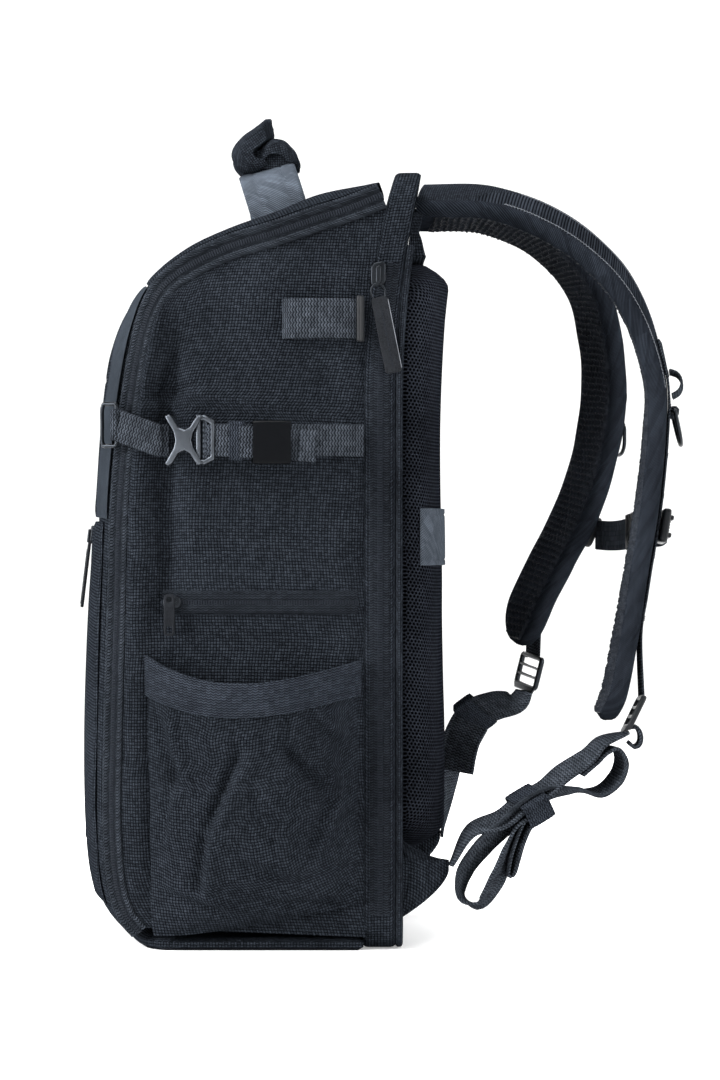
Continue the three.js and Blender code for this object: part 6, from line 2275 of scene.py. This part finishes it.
def route(table, side):
    """A route's line and its rolls, from shares to millimetres."""
    y = gusset_rear(0) + WING_LENGTH + 2 * GAP + WEBBING / 2
    z = WING_LOW * PACK_HEIGHT + ROUTE_START * WING_HEIGHT
    out = ROUTE_REACH * STRAP_REACH
    up = ROUTE_RISE * (STRAP_TOP - STRAP_DROP - z)
    line = Line([(side * row[2] * STRAP_SPREAD, y + row[0] * out, z + row[1] * up) for row in table])
    return line, np.array([side * row[3] for row in table], float)


LOWER_THICKNESS = 2.3


def add_route(name, tables, side, node):
    """Webbing along one or more routes, as one piece."""
    piece = Piece()
    for table in tables:
        line, rolls = route(table, side)
        webbing(piece, line, LOWER_WEBBING_WIDTH, roll=rolls, across=(1, 0, 0), thick=LOWER_THICKNESS)
    piece.build(name, WEB, node)


def lock_place(strap, table, side):
    """Where a lock sits, between the end of its lower webbing and the strap."""
    line, _ = route(table, side)
    last = line.points[-1]
    along = -strap.line.tangent([1.0])[0]
    sideways = unit(vec(1, 0, 0) - along * along[0])
    if side < 0:
        sideways = turned(sideways[None], along[None], np.array([-strap.roll(1.0)]))[0]
    reach = LOCK_HEIGHT / 2 + 6.5 * GAP
    return {
        "along": along, "sideways": sideways, "middle": last + along * reach,
        "top": last + along * (2 * reach + 2 * GAP),
    }


def add_lock(name, lock, metal):
    """A ladder lock: a frame with three windows, and a grip along its lower edge."""
    out = np.cross(lock["sideways"], lock["along"])
    axes = lock["sideways"], lock["along"], out
    windows = [[(x, y + up) for x, y in rounded_box(26, 4.2, 1)] for up in (6.6, 0.2, -6.4)]
    grip = [(-13, -15.5), (13, -15.5), (15.5, -11.5), (-15.5, -11.5)]
    piece = Piece()
    body = rounded_box(LOCK_WIDTH, LOCK_HEIGHT, 4)
    slab(piece, body, 3.6, axes, lock["middle"], bevel=1.3, holes=windows)
    slab(piece, grip, 2.2, axes, lock["middle"] + out * 0.8 + lock["along"] * 1.5, bevel=0.9)
    piece.build(f"strap_lock_body_{name}", metal, node=f"strap_lock_{name}", sharp=45)


def add_keeper_near():
    """The elastic that gathers the near tail's loops under the webbing."""
    line, _ = route(NEAR_ROUTE, 1)
    point, tangent, side, face = (a[0] for a in frames(line, np.array([0.4]), vec(1, 0, 0), 22.0))
    down = towards(face, vec(0, 0, -1))
    below = 11
    middle = point + down * (below - WEBBING) / 2
    piece = Piece()
    tall, deep = LOWER_WEBBING_WIDTH + 3.0, below + 2.4
    sleeve(piece, middle, (tangent, side, down), 18, tall, deep, 1.2, ripple=0.01)
    piece.build("webbing_keeper_elastic", ELASTIC, node="webbing_keeper_right")


def add_keeper_far():
    """A narrow elastic on the far webbing."""
    line, rolls = route(FAR_ROUTE, -1)
    place = 0.52
    roll = np.interp(place, np.linspace(0, 1, len(rolls)), rolls)
    point, *axes = (a[0] for a in frames(line, np.array([place]), vec(1, 0, 0), roll))
    piece = Piece()
    sleeve(piece, point, axes, 15, LOWER_WEBBING_WIDTH + 2.0, 6.0, 1.1, ripple=0.01)
    piece.build("webbing_keeper_left", ELASTIC)


near_lock = lock_place(NEAR, NEAR_ROUTE, 1)
far_lock = lock_place(FAR, FAR_ROUTE, -1)
add_pad("right", NEAR)
add_pad("left", FAR)
for side_name, strap_of, leave, lock_of, loop_rise in (
    ("right", NEAR, 0.83, near_lock, 7),
    ("left", FAR, 0.97, far_lock, 3),
):
    add_rail(side_name, strap_of, leave, lock_of)
    add_web_loop(side_name, strap_of, 0.36, 8, loop_rise)
    add_d_ring(side_name, strap_of)
    add_slider(side_name, strap_of)
add_sternum()
add_route("lower_webbing_cloth_right", [NEAR_ROUTE, LOCK_LOOP], 1, "lower_webbing_right")
add_route("lower_webbing_cloth_left", [FAR_ROUTE], -1, "lower_webbing_left")
add_route("webbing_tail_cloth_right", [NEAR_TAIL, END_LOOP], 1, "webbing_tail_right")
add_route("webbing_tail_cloth_left", [FAR_TAIL], -1, "webbing_tail_left")
add_lock("right", near_lock, PLASTIC)
add_lock("left", far_lock, STEEL)
add_keeper_near()
add_keeper_far()
